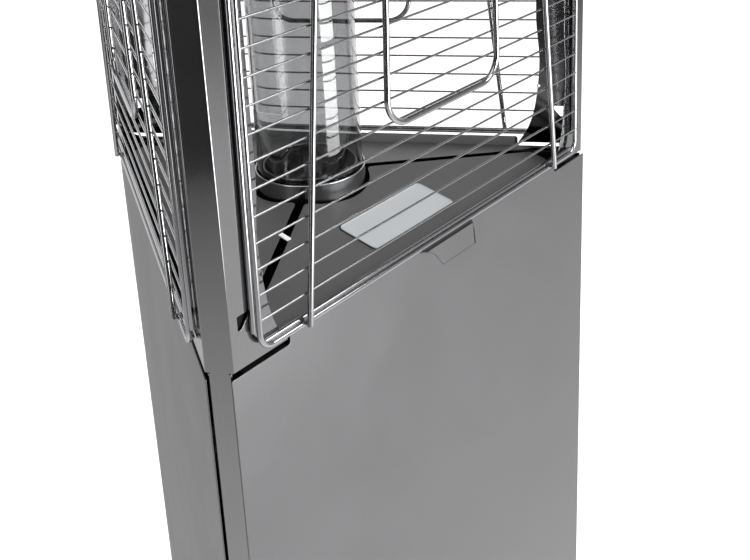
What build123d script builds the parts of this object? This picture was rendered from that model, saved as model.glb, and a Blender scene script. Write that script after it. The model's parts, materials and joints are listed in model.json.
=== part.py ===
from build123d import *
import math
import os

# Infrared gas heater: a tall three-sided tower. A closed cabinet for the gas bottle stands below,
# a sloping burner deck closes it, and a glass flame tube rises from the deck between three posts
# that carry wire grilles and a rain cap. Lengths are millimetres, angles are degrees.
# +Z is up, the origin is on the floor under the flame tube, and the door faces -Y.
# A face is described by s, along the face, and d, its distance out from the tube's axis.

TURN = 360
FACES = 3
FACE_STEP = TURN / FACES
HALF_STEP = FACE_STEP / 2
SIN_HALF = math.sin(math.radians(HALF_STEP))
COS_HALF = math.cos(math.radians(HALF_STEP))
CORNER_A_ANGLE = 210
OVERRUN = 40.0

# Clearances and sheet
SEAT_GAP = 0.3
RUN_FIT = 0.06
LOOSE_FIT = 0.4
SHEET = 1.2
PLATE = 1.5
BEND = 2.0
TINY_ROUND = 0.4

# Plan of the tower
NOSE_R = 330.0
NOSE_HALF = 12.0
WING_D = NOSE_R * COS_HALF + NOSE_HALF * SIN_HALF
CREASE_S = NOSE_R * SIN_HALF - NOSE_HALF * COS_HALF
PANEL_D = WING_D + SHEET
PANEL_PAST_CREASE = 3.21
PANEL_HALF = CREASE_S + PANEL_PAST_CREASE

# Levels
FLOOR_T = 3.0
PLINTH_TOP = 33.0
PANEL_LIFT = 7.0
PANEL_BOTTOM = PLINTH_TOP + PANEL_LIFT
CABINET_HEIGHT = 754.0
CUT_TOP = PANEL_BOTTOM + CABINET_HEIGHT
WING_LIFT = 4.0
WING_BOTTOM = CUT_TOP + WING_LIFT
UPSTAND_RISE = 11.3
UPSTAND_TOP = CUT_TOP + UPSTAND_RISE
WING_HEIGHT = 1282.0
POST_TOP = WING_BOTTOM + WING_HEIGHT
DECK_RISE = 20.3
DECK_TOP_Z = WING_BOTTOM + DECK_RISE

# Posts
CHANNEL_HALF = 10.5
CHANNEL_DEPTH = 22.0
CHANNEL_LIP = 5.5
CHANNEL_RISE = 17.0
CHANNEL_TOP = WING_BOTTOM + CHANNEL_RISE
LIP_FACE_R = NOSE_R - CHANNEL_DEPTH
WING_BACK = WING_D - SHEET
WING_WIDTH = 41.8
WING_INNER = CREASE_S - WING_WIDTH
FLARE_WIDTH = 21.0
FLARE_HEIGHT = 162.0
FLARE_SHARES = ((0.0, 1.0), (-0.19, 0.617), (-0.05, 0.383), (0.38, 0.154), (1.0, 0.0))
WING_HOLE_R = 1.8
WING_HOLE_IN = 38.5
WING_HOLE_RISE = 73.3
WING_HOLE_S = CREASE_S - WING_HOLE_IN
WING_HOLE_Z = WING_BOTTOM + WING_HOLE_RISE
HOOK_SETBACK = 8.8
HOOK_WIDTH = 15.0
HOOK_TIP_WIDTH = 3.7
HOOK_RISE = 48.0
HOOK_HEIGHT = 13.0
HOOK_OUT_S = CREASE_S - HOOK_SETBACK
HOOK_IN_S = HOOK_OUT_S - HOOK_WIDTH
HOOK_TIP_S = HOOK_OUT_S - HOOK_TIP_WIDTH
HOOK_TOP_Z = WING_BOTTOM + HOOK_RISE
HOOK_TIP_Z = HOOK_TOP_Z - HOOK_HEIGHT

# Panels and door
UPSTAND_INSET = 63.8
UPSTAND_HALF = CREASE_S - UPSTAND_INSET
NOTCH_ROUND = 3.0
RETURN_DEPTH = 7.4
FOOT_RETURN = 12.0
RETURN_END_GAP = 1.2
LIP_ROOT_HALF = 47.5
LIP_TIP_HALF = 27.0
LIP_REACH = 20.0
LIP_RISE = 0.6
LIP_KNEE = 13.0
LIP_DROP = 15.5
LIP_BEND = 8.0
LIP_CENTRE = 3.0

# Flame tube, its collar and seats
GLASS_R = 57.0
GLASS_WALL = 3.0
GLASS_RISE = 7.7
GLASS_DROP = 18.0
GLASS_IN = GLASS_R - GLASS_WALL
GLASS_FOOT = DECK_TOP_Z + GLASS_RISE
GLASS_TOP = POST_TOP - GLASS_DROP
COLLAR_GAP = 2.7
COLLAR_RISE = 21.0
COLLAR_HEIGHT = 37.3
COLLAR_R = GLASS_R + COLLAR_GAP
COLLAR_TOP = DECK_TOP_Z + COLLAR_RISE
COLLAR_FOOT = COLLAR_TOP - COLLAR_HEIGHT
SEAL_DROP = 2.9
SEAL_TOP = COLLAR_TOP - SEAL_DROP
CUP_GAP = 3.0
CUP_RISE = 4.0
CUP_FLANGE = 17.0
CUP_R = GLASS_IN - CUP_GAP
CUP_TOP = COLLAR_TOP + CUP_RISE
CUP_FLANGE_R = CUP_R + CUP_FLANGE
BOWL_DEPTH = 48.3
BOWL_TAPER = 14.0
BOWL_JOIN = 6.0
BOWL_GAP = 0.65
BOWL_MID_IN = 4.5
BOWL_MID_RISE = 18.0
BOWL_FLOOR = CUP_TOP - BOWL_DEPTH
BOWL_FLOOR_R = CUP_R - BOWL_TAPER
BOWL_MID_R = CUP_R - BOWL_MID_IN
BOWL_FOOT_R = BOWL_FLOOR_R + PLATE
BOWL_MID_Z = BOWL_FLOOR + BOWL_MID_RISE
TOP_RING_GAP = 5.2
TOP_RING_R = GLASS_R + TOP_RING_GAP
TOP_RING_FLANGE = 11.8
TOP_RING_DROP = 42.0
TOP_SEAL_HEIGHT = 26.0
TOP_LIP = 2.6

# Deck
DECK_SLOPE = 0.1968
DECK_TOP_D = COLLAR_R - SEAT_GAP
DECK_SETBACK = 10.39
DECK_OUT_D = WING_D - DECK_SETBACK
DECK_CORNER_INSET = 47.8
DECK_CORNER_S = CREASE_S - DECK_CORNER_INSET
DECK_CORNER_ROUND = 15.0
DECK_HOLE_GAP = 4.3
DECK_HOLE_R = COLLAR_R + DECK_HOLE_GAP
SLOT_NEAR = 0.9
SLOT_FAR = 8.2
SLOT_CORNER_ROUND = 9.0
SLOT_MOUTH_ROUND = 7.0
DECK_SKIRT = 26.0
FRAME_DROP = 53.5
FRAME_BOTTOM = WING_BOTTOM - FRAME_DROP
FRAME_D = DECK_OUT_D - PLATE
FRAME_BELOW_DECK = 4.0
LEDGE_DEPTH = 18.0
PAN_HOLE_IN = 9.0
PAN_HOLE_R = CUP_R - PAN_HOLE_IN
PAN_Z = FRAME_BOTTOM + PLATE
PAN_TOP = PAN_Z + PLATE
CLIP_OUT = 70.3
CLIP_R = COLLAR_R + CLIP_OUT
CLIP_LENGTH = 12.0
CLIP_WIDTH = 4.6

# Blank plate on the front deck
BADGE_WIDTH = 129.4
BADGE_DEPTH = 50.8
BADGE_S = 8.9
BADGE_INSET = 50.3
BADGE_D = DECK_OUT_D - BADGE_INSET
BADGE_ROUND = 6.0
BADGE_RIM = 1.6
BADGE_RISE = 0.6

# Base
BRACKET_DEPTH = 14.0
BRACKET_HEIGHT = 34.0
BRACKET_HALF = 16.0
ANCHOR_R = 5.5
ANCHOR_INSET = 90.0
ANCHOR_CIRCLE_R = NOSE_R - ANCHOR_INSET
PLINTH_SETBACK = 3.4
PLINTH_D = WING_D - PLINTH_SETBACK
PLINTH_END_INSET = 7.8
PLINTH_HALF = CREASE_S - PLINTH_END_INSET

# Door hinge and catches
HINGE_OUT = 0.9
HINGE_DROP = 5.0
HINGE_D = PANEL_D + HINGE_OUT
HINGE_Z = PANEL_BOTTOM - HINGE_DROP
HINGE_INSET = 78.0
HINGE_S = PANEL_HALF - HINGE_INSET
BARREL_R = 3.6
HINGE_PIN_R = 2.0
BARREL_LENGTH = 16.0
LEAF_HEIGHT = 18.0
MAGNET_INSET = 82.0
MAGNET_S = DECK_CORNER_S - MAGNET_INSET
MAGNET_WIDTH = 26.0
MAGNET_HEIGHT = 14.0
MAGNET_BELOW = 24.0

# Wedge blocks that hold the fixed panels
BLOCK_HEIGHT = 30.0
BLOCK_LENGTH = 15.0
BLOCK_INSET = 6.0
BLOCK_LEVEL_SHARES = (0.07, 0.48, 0.87)

# Burner and gas line
MIXER_R = 14.0
MIXER_WALL = 2.0
MIXER_LENGTH = 95.0
MIXER_FOOT = BOWL_FLOOR - MIXER_LENGTH
MIXER_FLANGE = 8.0
MIXER_TOP_RISE = 2.0
AIR_HOLE_R = 5.0
AIR_HOLE_RISE = 18.0
AIR_HOLES = 4
HEAD_R = 24.0
HEAD_HEIGHT = 15.0
HEAD_WALL = 2.0
HEAD_NECK = 12.0
HEAD_PORT_R = 1.5
HEAD_PORTS = 16
HEAD_FOOT = BOWL_FLOOR + MIXER_TOP_RISE
JET_BLOCK = 18.0
JET_HEIGHT = 20.0
JET_R = 5.0
JET_RISE = 12.0
PIPE_R = 4.0
PIPE_BEND = 20.0
PROBE_R = 2.5
PROBE_TIP_R = 1.2
PROBE_GAP = 7.0
PROBE_CIRCLE_R = HEAD_R + PROBE_GAP
PROBE_DROP = 23.0
PROBE_SHOULDER_RISE = 11.0
PROBE_TIP = 10.0
PROBE_FOOT = BOWL_FLOOR - PROBE_DROP
PROBE_SHOULDER = BOWL_FLOOR + PROBE_SHOULDER_RISE
PROBE_TOP = PROBE_SHOULDER + PROBE_TIP

# Controls on their plate under the deck
CONTROL_SETBACK = 33.5
CONTROL_D = DECK_OUT_D - CONTROL_SETBACK
CONTROL_BACK = CONTROL_D - PLATE
CONTROL_HALF = 85.0
CONTROL_DROP = 78.0
CONTROL_FLANGE = 22.0
VALVE_S = 45.0
VALVE_DEPTH = 42.0
VALVE_HALF = 20.0
VALVE_HEIGHT = 36.0
VALVE_ROUND = 6.0
VALVE_Z = MIXER_FOOT - JET_HEIGHT / 2
SPINDLE_R = 4.0
SPINDLE_IN = 24.0
SPINDLE_OUT = 21.0
SPINDLE_STROKE = 3.0
PLATE_HOLE_GAP = 1.0
KNOB_R = 20.0
KNOB_DEPTH = 20.0
KNOB_STANDOFF = 6.0
KNOB_ROUND = 2.5
KNOB_GRIP_HALF = 4.0
KNOB_GRIP_RISE = 7.0
IGNITER_R = 9.0
IGNITER_DEPTH = 34.0
BUTTON_R = 7.0
BUTTON_STEM_R = 4.0
BUTTON_HEAD = 8.0
BUTTON_STROKE = 5.0
BUTTON_GAP = 6.5
BUTTON_STEM_IN = 20.0
BUTTON_ROUND = 1.2
INLET_HEX_SIDES = 6
INLET_HEX_R = 10.0
INLET_HEX = 12.0
INLET_THREAD_R = 6.58
INLET_THREAD = 14.0

# Grilles
SIDE_ROD_R = 2.5
SIDE_OUT = 6.0
SIDE_D = WING_D + SIDE_OUT
SIDE_OVER = 15.1
SIDE_S = WING_INNER + SIDE_OVER
SIDE_LEAN = 0.0134
LOOP_LIFT = 3.3
LOOP_DROP = 29.6
LOOP_BOTTOM = UPSTAND_TOP + LOOP_LIFT
LOOP_TOP = POST_TOP - LOOP_DROP
LOOP_ROUND = 14.0
LEAN_RISE = 27.4
LEAN_Z = LOOP_BOTTOM + LEAN_RISE
BACK_ROD_OUT = 4.3
BACK_ROD_IN = 3.0
BACK_ROD_RISE = 3.5
WELD_R = 1.6
WELDS = 7
MID_ROD_R = 2.75
MID_OUT = 4.8
MID_D = SIDE_D + MID_OUT
MID_INSET = 55.8
MID_S = SIDE_S - MID_INSET
MID_LEAN = 0.1083
MID_FOOT_DROP = 2.4
MID_FOOT = LOOP_BOTTOM - MID_FOOT_DROP
MID_HEAD_RISE = 3.5
CENTRE_ROD_R = 3.0
CENTRE_OUT = 4.9
CENTRE_D = SIDE_D + CENTRE_OUT
CENTRE_S = 85.5
CENTRE_LEAN = 0.0368
CENTRE_RISE = 139.4
CENTRE_HEEL = 49.0
CENTRE_BOTTOM = LOOP_BOTTOM + CENTRE_RISE
CENTRE_S_Z = CENTRE_BOTTOM + CENTRE_HEEL
CENTRE_ROUND = 27.0
WIRE_R = 1.1
WIRE_OUT = 1.3
WIRE_D = SIDE_D + WIRE_OUT
WIRE_RISE = 27.7
WIRE_Z = LOOP_BOTTOM + WIRE_RISE
WIRE_PITCH = 22.9
WIRES = int((LOOP_TOP - LOOP_ROUND - WIRE_Z) // WIRE_PITCH) + 1
HANG_R = 2.0
HANG_S = 120.0
HANG_IN = 12.0
HANG_DROP = 8.5
HANG_SLOT_HALF = 4.0
HANG_SLOT_HEIGHT = 18.0

# Head of the tower
HEADER_DROP = 46.0
HEADER_INSET = 11.8
HEADER_HALF = CREASE_S - HEADER_INSET
HEADER_TOP = POST_TOP + PLATE
PILLAR_R = 7.0
PILLAR_INSET = 115.0
PILLAR_CIRCLE_R = NOSE_R - PILLAR_INSET
PILLAR_HEIGHT = 82.5
CAP_UNDER = HEADER_TOP + PILLAR_HEIGHT
CAP_OVERHANG = 14.0
CAP_DROP = 44.0
CAP_NOSE_HALF = 26.0
DISH_R = 130.0
DISH_FLAT_R = 40.0
DISH_SLOPE_R = 120.0
DISH_DEPTH = 24.0
CAP_SCREW_R = 3.0
CAP_SCREW_HEAD_R = 6.5
CAP_SCREW_HEAD = 3.6
CAP_SCREW_LENGTH = 16.0


def deck_z(d):
    """Height of the deck's top face at distance d from the axis."""
    return DECK_TOP_Z - DECK_SLOPE * (d - DECK_TOP_D)


def lean_s(s, lean, z, z_ref):
    """Offset along the face of a rod that leans inwards as it rises."""
    return s - lean * (z - z_ref)


def box(s0, s1, d0, d1, z0, z1):
    """A block given in the front face's own measures."""
    size = Box(s1 - s0, d1 - d0, z1 - z0)
    return Pos((s0 + s1) / 2, -(d0 + d1) / 2, (z0 + z1) / 2) * size


def rod(start, end, radius):
    """A round bar between two points."""
    a = Vector(*start)
    run = Vector(*end) - a
    return Solid.make_cylinder(radius, run.length, Plane(origin=a, z_dir=run))


def face_plate(points, d0, d1):
    """An outline in s and z, as thick as from d0 to d1."""
    outline = [Vector(s, -d1, z) for s, z in points]
    return extrude(make_face(Polyline(*outline, close=True)), amount=d1 - d0, dir=(0, 1, 0))


def spun(points):
    """A solid of revolution about the tube's axis from an outline in radius and height."""
    outline = [Vector(r, 0, z) for r, z in points]
    return revolve(make_face(Polyline(*outline, close=True)), Axis.Z)


def ring(r_in, r_out, z0, z1):
    """A plain round ring about the tube's axis."""
    return spun(((r_in, z0), (r_out, z0), (r_out, z1), (r_in, z1)))


def offset_points(points, distance):
    """A line moved sideways by a distance, with mitred bends."""
    moved = []
    count = len(points)
    for i, (x, y) in enumerate(points):
        normals = []
        if i > 0:
            dx, dy = x - points[i - 1][0], y - points[i - 1][1]
            normals.append((-dy / math.hypot(dx, dy), dx / math.hypot(dx, dy)))
        if i < count - 1:
            dx, dy = points[i + 1][0] - x, points[i + 1][1] - y
            normals.append((-dy / math.hypot(dx, dy), dx / math.hypot(dx, dy)))
        nx = sum(n[0] for n in normals) / len(normals)
        ny = sum(n[1] for n in normals) / len(normals)
        reach = distance / (nx * nx + ny * ny)
        moved.append((x + nx * reach, y + ny * reach))
    return moved


def folded_sheet(points, thickness, bend):
    """A section of folded sheet in its own plane, on the left of a line."""
    inner = offset_points(points, thickness)
    front = FilletPolyline(*points, radius=bend)
    back = FilletPolyline(*inner, radius=bend)
    ends = [Line(points[0], inner[0]), Line(points[-1], inner[-1])]
    return make_face(Wire([*front.edges(), *back.edges(), *ends]))


def truncated_triangle(d, r):
    """The tower's outline in plan, with its faces at d and its corners cut at r."""
    half = (r - d * COS_HALF) / SIN_HALF
    points = []
    for i in range(FACES):
        turn = math.radians(-HALF_STEP * 3 / 2 + i * FACE_STEP)
        out, along = (math.cos(turn), math.sin(turn)), (-math.sin(turn), math.cos(turn))
        for side in (-1, 1):
            points.append((out[0] * d + along[0] * half * side, out[1] * d + along[1] * half * side))
    return make_face(Polyline(*points, close=True))


def on_face(shape, face):
    """A copy of a front-face shape on face 0 (front), 1 (left) or 2 (right)."""
    return Rot(0, 0, (0, -FACE_STEP, FACE_STEP)[face]) * shape


def at_corner(shape, corner):
    """A shape drawn for a corner on +X, turned to corner 0 (A), 1 (B) or 2 (C)."""
    return Rot(0, 0, CORNER_A_ANGLE + corner * FACE_STEP) * shape


# Posts
def wing_edge_cutter():
    """What is cut from a wing so that its inner edge flares at the foot, with slot and hole."""
    flare = [
        (WING_INNER - w * FLARE_WIDTH, WING_BOTTOM + h * FLARE_HEIGHT) for w, h in FLARE_SHARES
    ]
    front = -(WING_D + OVERRUN)
    inside = WING_INNER - FLARE_WIDTH - OVERRUN
    top, foot = POST_TOP + OVERRUN, WING_BOTTOM - OVERRUN
    curve = Spline(*[Vector(s, front, z) for s, z in flare], tangents=[(0, 0, -1), (-1, 0, -1)])
    corners = [(flare[-1][0], foot), (inside, foot), (inside, top), (WING_INNER, top)]
    corners = [Vector(s, front, z) for s, z in corners]
    rest = Polyline(curve @ 1, *corners, curve @ 0)
    edge = extrude(make_face([curve, rest]), amount=OVERRUN * 2, dir=(0, 1, 0))
    outline = [(HOOK_IN_S, HOOK_TOP_Z), (HOOK_OUT_S, HOOK_TOP_Z)]
    outline += [(HOOK_OUT_S, HOOK_TIP_Z), (HOOK_TIP_S, HOOK_TIP_Z)]
    hook = face_plate(outline, WING_D - OVERRUN, WING_D + OVERRUN)
    near = (WING_HOLE_S, -WING_D - OVERRUN, WING_HOLE_Z)
    far = (WING_HOLE_S, -WING_D + OVERRUN, WING_HOLE_Z)
    hole = rod(near, far, WING_HOLE_R)
    return edge + hook + hole


def post_shape():
    """A corner post: a nose strip with wings above the deck and a lipped channel below it."""
    reach = CREASE_S - WING_INNER + FLARE_WIDTH + NOSE_HALF
    tip = (NOSE_R - reach * SIN_HALF, NOSE_HALF + reach * COS_HALF)
    line = [(tip[0], -tip[1]), (NOSE_R, -NOSE_HALF), (NOSE_R, NOSE_HALF), tip]
    upper = extrude(Pos(0, 0, WING_BOTTOM) * folded_sheet(line, SHEET, BEND), amount=WING_HEIGHT)
    lip_y = CHANNEL_HALF - CHANNEL_LIP
    back = LIP_FACE_R
    line = [(back, -lip_y), (back, -CHANNEL_HALF), (NOSE_R, -CHANNEL_HALF)]
    line += [(x, -y) for x, y in reversed(line)]
    lower = extrude(Pos(0, 0, FLOOR_T) * folded_sheet(line, SHEET, BEND), amount=CHANNEL_TOP - FLOOR_T)
    post = upper + lower
    cutter = wing_edge_cutter()
    other = mirror(cutter, Plane.YZ)
    turn = Rot(0, 0, -CORNER_A_ANGLE)
    return post - turn * other - turn * Rot(0, 0, -FACE_STEP) * cutter


# Panels and door
def panel_sheet():
    """A lower panel's sheet: raised between the notches, cut down at both ends."""
    ends = [(PANEL_HALF, PANEL_BOTTOM), (PANEL_HALF, CUT_TOP)]
    ends += [(UPSTAND_HALF, CUT_TOP), (UPSTAND_HALF, UPSTAND_TOP)]
    points = ends + [(-s, z) for s, z in reversed(ends)]
    sheet = face_plate(points, WING_D, PANEL_D)
    notch = [
        e
        for e in sheet.edges().filter_by(Axis.Y)
        if abs(abs(e.center().X) - UPSTAND_HALF) < TINY_ROUND
    ]
    return fillet(notch, NOTCH_ROUND)


def panel_shape():
    """A lower panel with its returns at the cut-down ends and along its foot."""
    panel = panel_sheet()
    inner_d = PANEL_D - RETURN_DEPTH
    clear = CHANNEL_HALF + RETURN_END_GAP
    reach = (inner_d * SIN_HALF - clear) / COS_HALF
    top_in = UPSTAND_HALF + NOTCH_ROUND
    for side in (-1, 1):
        s0, s1 = sorted((side * top_in, side * reach))
        panel += box(s0, s1, inner_d, PANEL_D, CUT_TOP - SHEET, CUT_TOP)
    foot_d = PANEL_D - FOOT_RETURN
    foot_reach = (foot_d * SIN_HALF - clear) / COS_HALF
    panel += box(-foot_reach, foot_reach, foot_d, PANEL_D, PANEL_BOTTOM, PANEL_BOTTOM + SHEET)
    return panel


def door_lip():
    """The door's pull: a tapering flap folded out and down from the top edge."""
    top = UPSTAND_TOP - LIP_RISE
    line = [(WING_D, top), (PANEL_D + LIP_KNEE, top - LIP_RISE)]
    line += [(PANEL_D + LIP_REACH, top - LIP_DROP)]
    section = folded_sheet([(d, z) for d, z in reversed(line)], SHEET, LIP_BEND)
    upright = Plane(origin=(LIP_CENTRE - LIP_ROOT_HALF, 0, 0), x_dir=(0, -1, 0), z_dir=(-1, 0, 0))
    strip = extrude(upright * section, amount=-LIP_ROOT_HALF * 2)
    out = PANEL_D + LIP_REACH + SHEET
    outline = [
        (LIP_CENTRE - LIP_ROOT_HALF, -WING_D),
        (LIP_CENTRE + LIP_ROOT_HALF, -WING_D),
        (LIP_CENTRE + LIP_ROOT_HALF, -PANEL_D),
        (LIP_CENTRE + LIP_TIP_HALF, -out),
        (LIP_CENTRE - LIP_TIP_HALF, -out),
        (LIP_CENTRE - LIP_ROOT_HALF, -PANEL_D),
    ]
    plan = Pos(0, 0, CUT_TOP - OVERRUN) * make_face(Polyline(*outline, close=True))
    return strip & extrude(plan, amount=OVERRUN * 2)


def hinge_leaves():
    """Two fixed hinge leaves on the plinth, each with its barrel and pin."""
    leaves = []
    for side in (-1, 1):
        s0, s1 = sorted((side * HINGE_S, side * (HINGE_S - BARREL_LENGTH)))
        leaf = box(s0, s1, PLINTH_D, PLINTH_D + PLATE, HINGE_Z - LEAF_HEIGHT, HINGE_Z)
        arm = box(s0, s1, PLINTH_D, HINGE_D, HINGE_Z - BARREL_R, HINGE_Z)
        barrel = rod((s0, -HINGE_D, HINGE_Z), (s1, -HINGE_D, HINGE_Z), BARREL_R)
        far = side * (HINGE_S + SEAT_GAP + BARREL_LENGTH)
        near = side * (HINGE_S - PLATE)
        pin = rod((near, -HINGE_D, HINGE_Z), (far, -HINGE_D, HINGE_Z), HINGE_PIN_R)
        leaves.append(leaf + arm + barrel + pin)
    return Compound(leaves)


def door_knuckles():
    """Two knuckles under the door that turn on the hinge pins."""
    knuckles = []
    for side in (-1, 1):
        near = HINGE_S + SEAT_GAP
        s0, s1 = sorted((side * near, side * (near + BARREL_LENGTH)))
        web = box(s0, s1, HINGE_D - BARREL_R, WING_D + SHEET, HINGE_Z, PANEL_BOTTOM)
        barrel = rod((s0, -HINGE_D, HINGE_Z), (s1, -HINGE_D, HINGE_Z), BARREL_R)
        bore = rod(
            (s0 - OVERRUN, -HINGE_D, HINGE_Z), (s1 + OVERRUN, -HINGE_D, HINGE_Z), HINGE_PIN_R + RUN_FIT
        )
        knuckles.append(web + barrel - bore)
    return Compound(knuckles)


def door_magnets():
    """Two magnet catches on the front deck's skirt that hold the door shut."""
    top = deck_z(DECK_OUT_D) - MAGNET_BELOW + MAGNET_HEIGHT
    blocks = []
    for side in (-1, 1):
        s0, s1 = side * MAGNET_S - MAGNET_WIDTH / 2, side * MAGNET_S + MAGNET_WIDTH / 2
        blocks.append(box(s0, s1, DECK_OUT_D, WING_D - SEAT_GAP, top - MAGNET_HEIGHT, top))
    return Compound(blocks)


def panel_blocks():
    """Wedge blocks between the post channels and the two fixed panels."""
    r0 = LIP_FACE_R - BLOCK_INSET
    r1 = r0 + BLOCK_LENGTH
    lateral0 = (WING_D - r0 * COS_HALF) / SIN_HALF
    lateral1 = (WING_D - r1 * COS_HALF) / SIN_HALF
    points = [(r0, CHANNEL_HALF), (r1, CHANNEL_HALF), (r1, lateral1), (r0, lateral0)]
    wedge = extrude(make_face(Polyline(*points, close=True)), amount=BLOCK_HEIGHT)
    twin = mirror(wedge, Plane.XZ)
    blocks = []
    for share in BLOCK_LEVEL_SHARES:
        z = PANEL_BOTTOM + share * CABINET_HEIGHT
        # the left panel lies between A and C, the right panel between B and C
        blocks.append(Pos(0, 0, z) * at_corner(twin, 0))
        blocks.append(Pos(0, 0, z) * at_corner(wedge, 1))
        blocks.append(Pos(0, 0, z) * at_corner(wedge, 2))
        blocks.append(Pos(0, 0, z) * at_corner(twin, 2))
    return Compound(blocks)


# Base
def base_plate():
    """The floor plate with its three low plinth walls and its anchor holes."""
    base = extrude(truncated_triangle(PLINTH_D, NOSE_R), amount=FLOOR_T)
    wall = box(-PLINTH_HALF, PLINTH_HALF, PLINTH_D - PLATE, PLINTH_D, 0, PLINTH_TOP)
    for face in range(FACES):
        base += on_face(wall, face)
    for corner in range(FACES):
        base -= at_corner(Pos(ANCHOR_CIRCLE_R, 0, 0) * Cylinder(ANCHOR_R, OVERRUN), corner)
    return base


def base_brackets():
    """Angle brackets that tie the posts' feet to the floor plate."""
    r0 = LIP_FACE_R - BRACKET_DEPTH
    heel = Box(BRACKET_DEPTH, BRACKET_HALF, FLOOR_T)
    heel = Pos((r0 + LIP_FACE_R) / 2, 0, FLOOR_T + FLOOR_T / 2) * heel
    upright = Box(FLOOR_T, BRACKET_HALF, BRACKET_HEIGHT)
    upright = Pos(LIP_FACE_R - FLOOR_T / 2, 0, FLOOR_T + BRACKET_HEIGHT / 2) * upright
    bracket = heel + upright
    return Compound([at_corner(bracket, corner) for corner in range(FACES)])


# Deck
def deck_frame():
    """The ring that ties the posts under the deck, with a ledge for the burner pan."""
    top = deck_z(DECK_OUT_D) - FRAME_BELOW_DECK - PLATE
    outer = Pos(0, 0, FRAME_BOTTOM) * truncated_triangle(FRAME_D, LIP_FACE_R)
    outer = extrude(outer, amount=top - FRAME_BOTTOM)
    inner = truncated_triangle(FRAME_D - PLATE, LIP_FACE_R - PLATE)
    inner = extrude(Pos(0, 0, PAN_Z) * inner, amount=top - PAN_Z + OVERRUN)
    window = truncated_triangle(FRAME_D - LEDGE_DEPTH, LIP_FACE_R - LEDGE_DEPTH)
    window = extrude(Pos(0, 0, FRAME_BOTTOM - OVERRUN) * window, amount=OVERRUN * 2)
    return outer - inner - window


def burner_pan():
    """The flat pan on the frame's ledge that carries the burner cup."""
    outline = truncated_triangle(FRAME_D - PLATE - SEAT_GAP, LIP_FACE_R - PLATE - SEAT_GAP)
    return extrude(Pos(0, 0, PAN_Z) * (outline - Circle(PAN_HOLE_R)), amount=PLATE)


def slot_edge(side, t, offset):
    """A plan point of a plate's slot edge, t along the corner's line and offset inside it."""
    return (side * (t * SIN_HALF - offset * COS_HALF), t * COS_HALF + offset * SIN_HALF)


def deck_plate():
    """One sloping deck plate between two slots, with its skirt, one end cut back for the slot."""
    points = []
    for side, offset in ((1, SLOT_NEAR), (-1, SLOT_FAR)):
        corner_t = (DECK_CORNER_S + offset * COS_HALF) / SIN_HALF
        line = [slot_edge(side, DECK_HOLE_R / 2, offset), slot_edge(side, corner_t, offset)]
        line.append((side * DECK_CORNER_S, DECK_OUT_D))
        points += line if side > 0 else line[::-1]
    outline = make_face(Polyline(*[(s, -d) for s, d in points], close=True)) - Circle(DECK_HOLE_R)
    mouth = [v for v in outline.vertices() if Vector(*v.center()).length < DECK_HOLE_R + TINY_ROUND]
    outline = fillet(mouth, SLOT_MOUTH_ROUND)
    ends = [v for v in outline.vertices() if abs(abs(v.X) - DECK_CORNER_S) < TINY_ROUND]
    outer = [v for v in ends if v.Y < -DECK_OUT_D + TINY_ROUND]
    outline = fillet(outer, DECK_CORNER_ROUND)
    inner = [v for v in outline.vertices() if abs(abs(v.X) - DECK_CORNER_S) < TINY_ROUND]
    inner = sorted(inner, key=lambda v: -v.Y)[:2]
    outline = fillet(inner, SLOT_CORNER_ROUND)
    prism = extrude(Pos(0, 0, FRAME_BOTTOM) * outline, amount=DECK_TOP_Z - FRAME_BOTTOM + OVERRUN)
    near, far = 0, DECK_OUT_D + OVERRUN
    drop = PLATE * math.hypot(1, DECK_SLOPE)
    section = [(near, deck_z(near)), (far, deck_z(far))]
    section += [(far, deck_z(far) - drop), (near, deck_z(near) - drop)]
    section = [Vector(-DECK_CORNER_S - OVERRUN, -d, z) for d, z in section]
    width = (DECK_CORNER_S + OVERRUN) * 2
    slab = extrude(make_face(Polyline(*section, close=True)), amount=width, dir=(1, 0, 0))
    skirt_half = DECK_CORNER_S - DECK_CORNER_ROUND - PLATE
    edge = deck_z(DECK_OUT_D)
    skirt = box(-skirt_half, skirt_half, FRAME_D, DECK_OUT_D, edge - DECK_SKIRT, edge - drop / 2)
    return (prism & slab) + skirt


def slot_clip():
    """The small bright bar that lies on both edges of the deck slot at corner A."""
    edges = []
    for offset in (-SLOT_NEAR, SLOT_FAR):
        d = CLIP_R * COS_HALF + abs(offset) * SIN_HALF
        edges.append(Vector(CLIP_R, offset, deck_z(d)))
    along = Vector(1, 0, -DECK_SLOPE * COS_HALF)
    normal = along.cross(edges[1] - edges[0]).normalized()
    middle = (edges[0] + edges[1]) * (1 / 2) + normal * (SEAT_GAP + PLATE / 2)
    seat = Plane(origin=middle, x_dir=along, z_dir=normal)
    return at_corner(seat * Box(CLIP_WIDTH, CLIP_LENGTH, PLATE), 0)


def blank_plate():
    """The plain plate on the front deck, with a thin raised rim."""
    tilt = math.atan(DECK_SLOPE)
    normal = (0, -math.sin(tilt), math.cos(tilt))
    seat = Plane(origin=(BADGE_S, -BADGE_D, deck_z(BADGE_D)), x_dir=(1, 0, 0), z_dir=normal)
    outer = RectangleRounded(BADGE_WIDTH, BADGE_DEPTH, BADGE_ROUND)
    width, depth = BADGE_WIDTH - BADGE_RIM * 2, BADGE_DEPTH - BADGE_RIM * 2
    inner = RectangleRounded(width, depth, BADGE_ROUND - BADGE_RIM)
    plate = extrude(outer, amount=SHEET + BADGE_RISE) - Pos(0, 0, SHEET) * extrude(inner, amount=OVERRUN)
    return seat * plate


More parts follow.
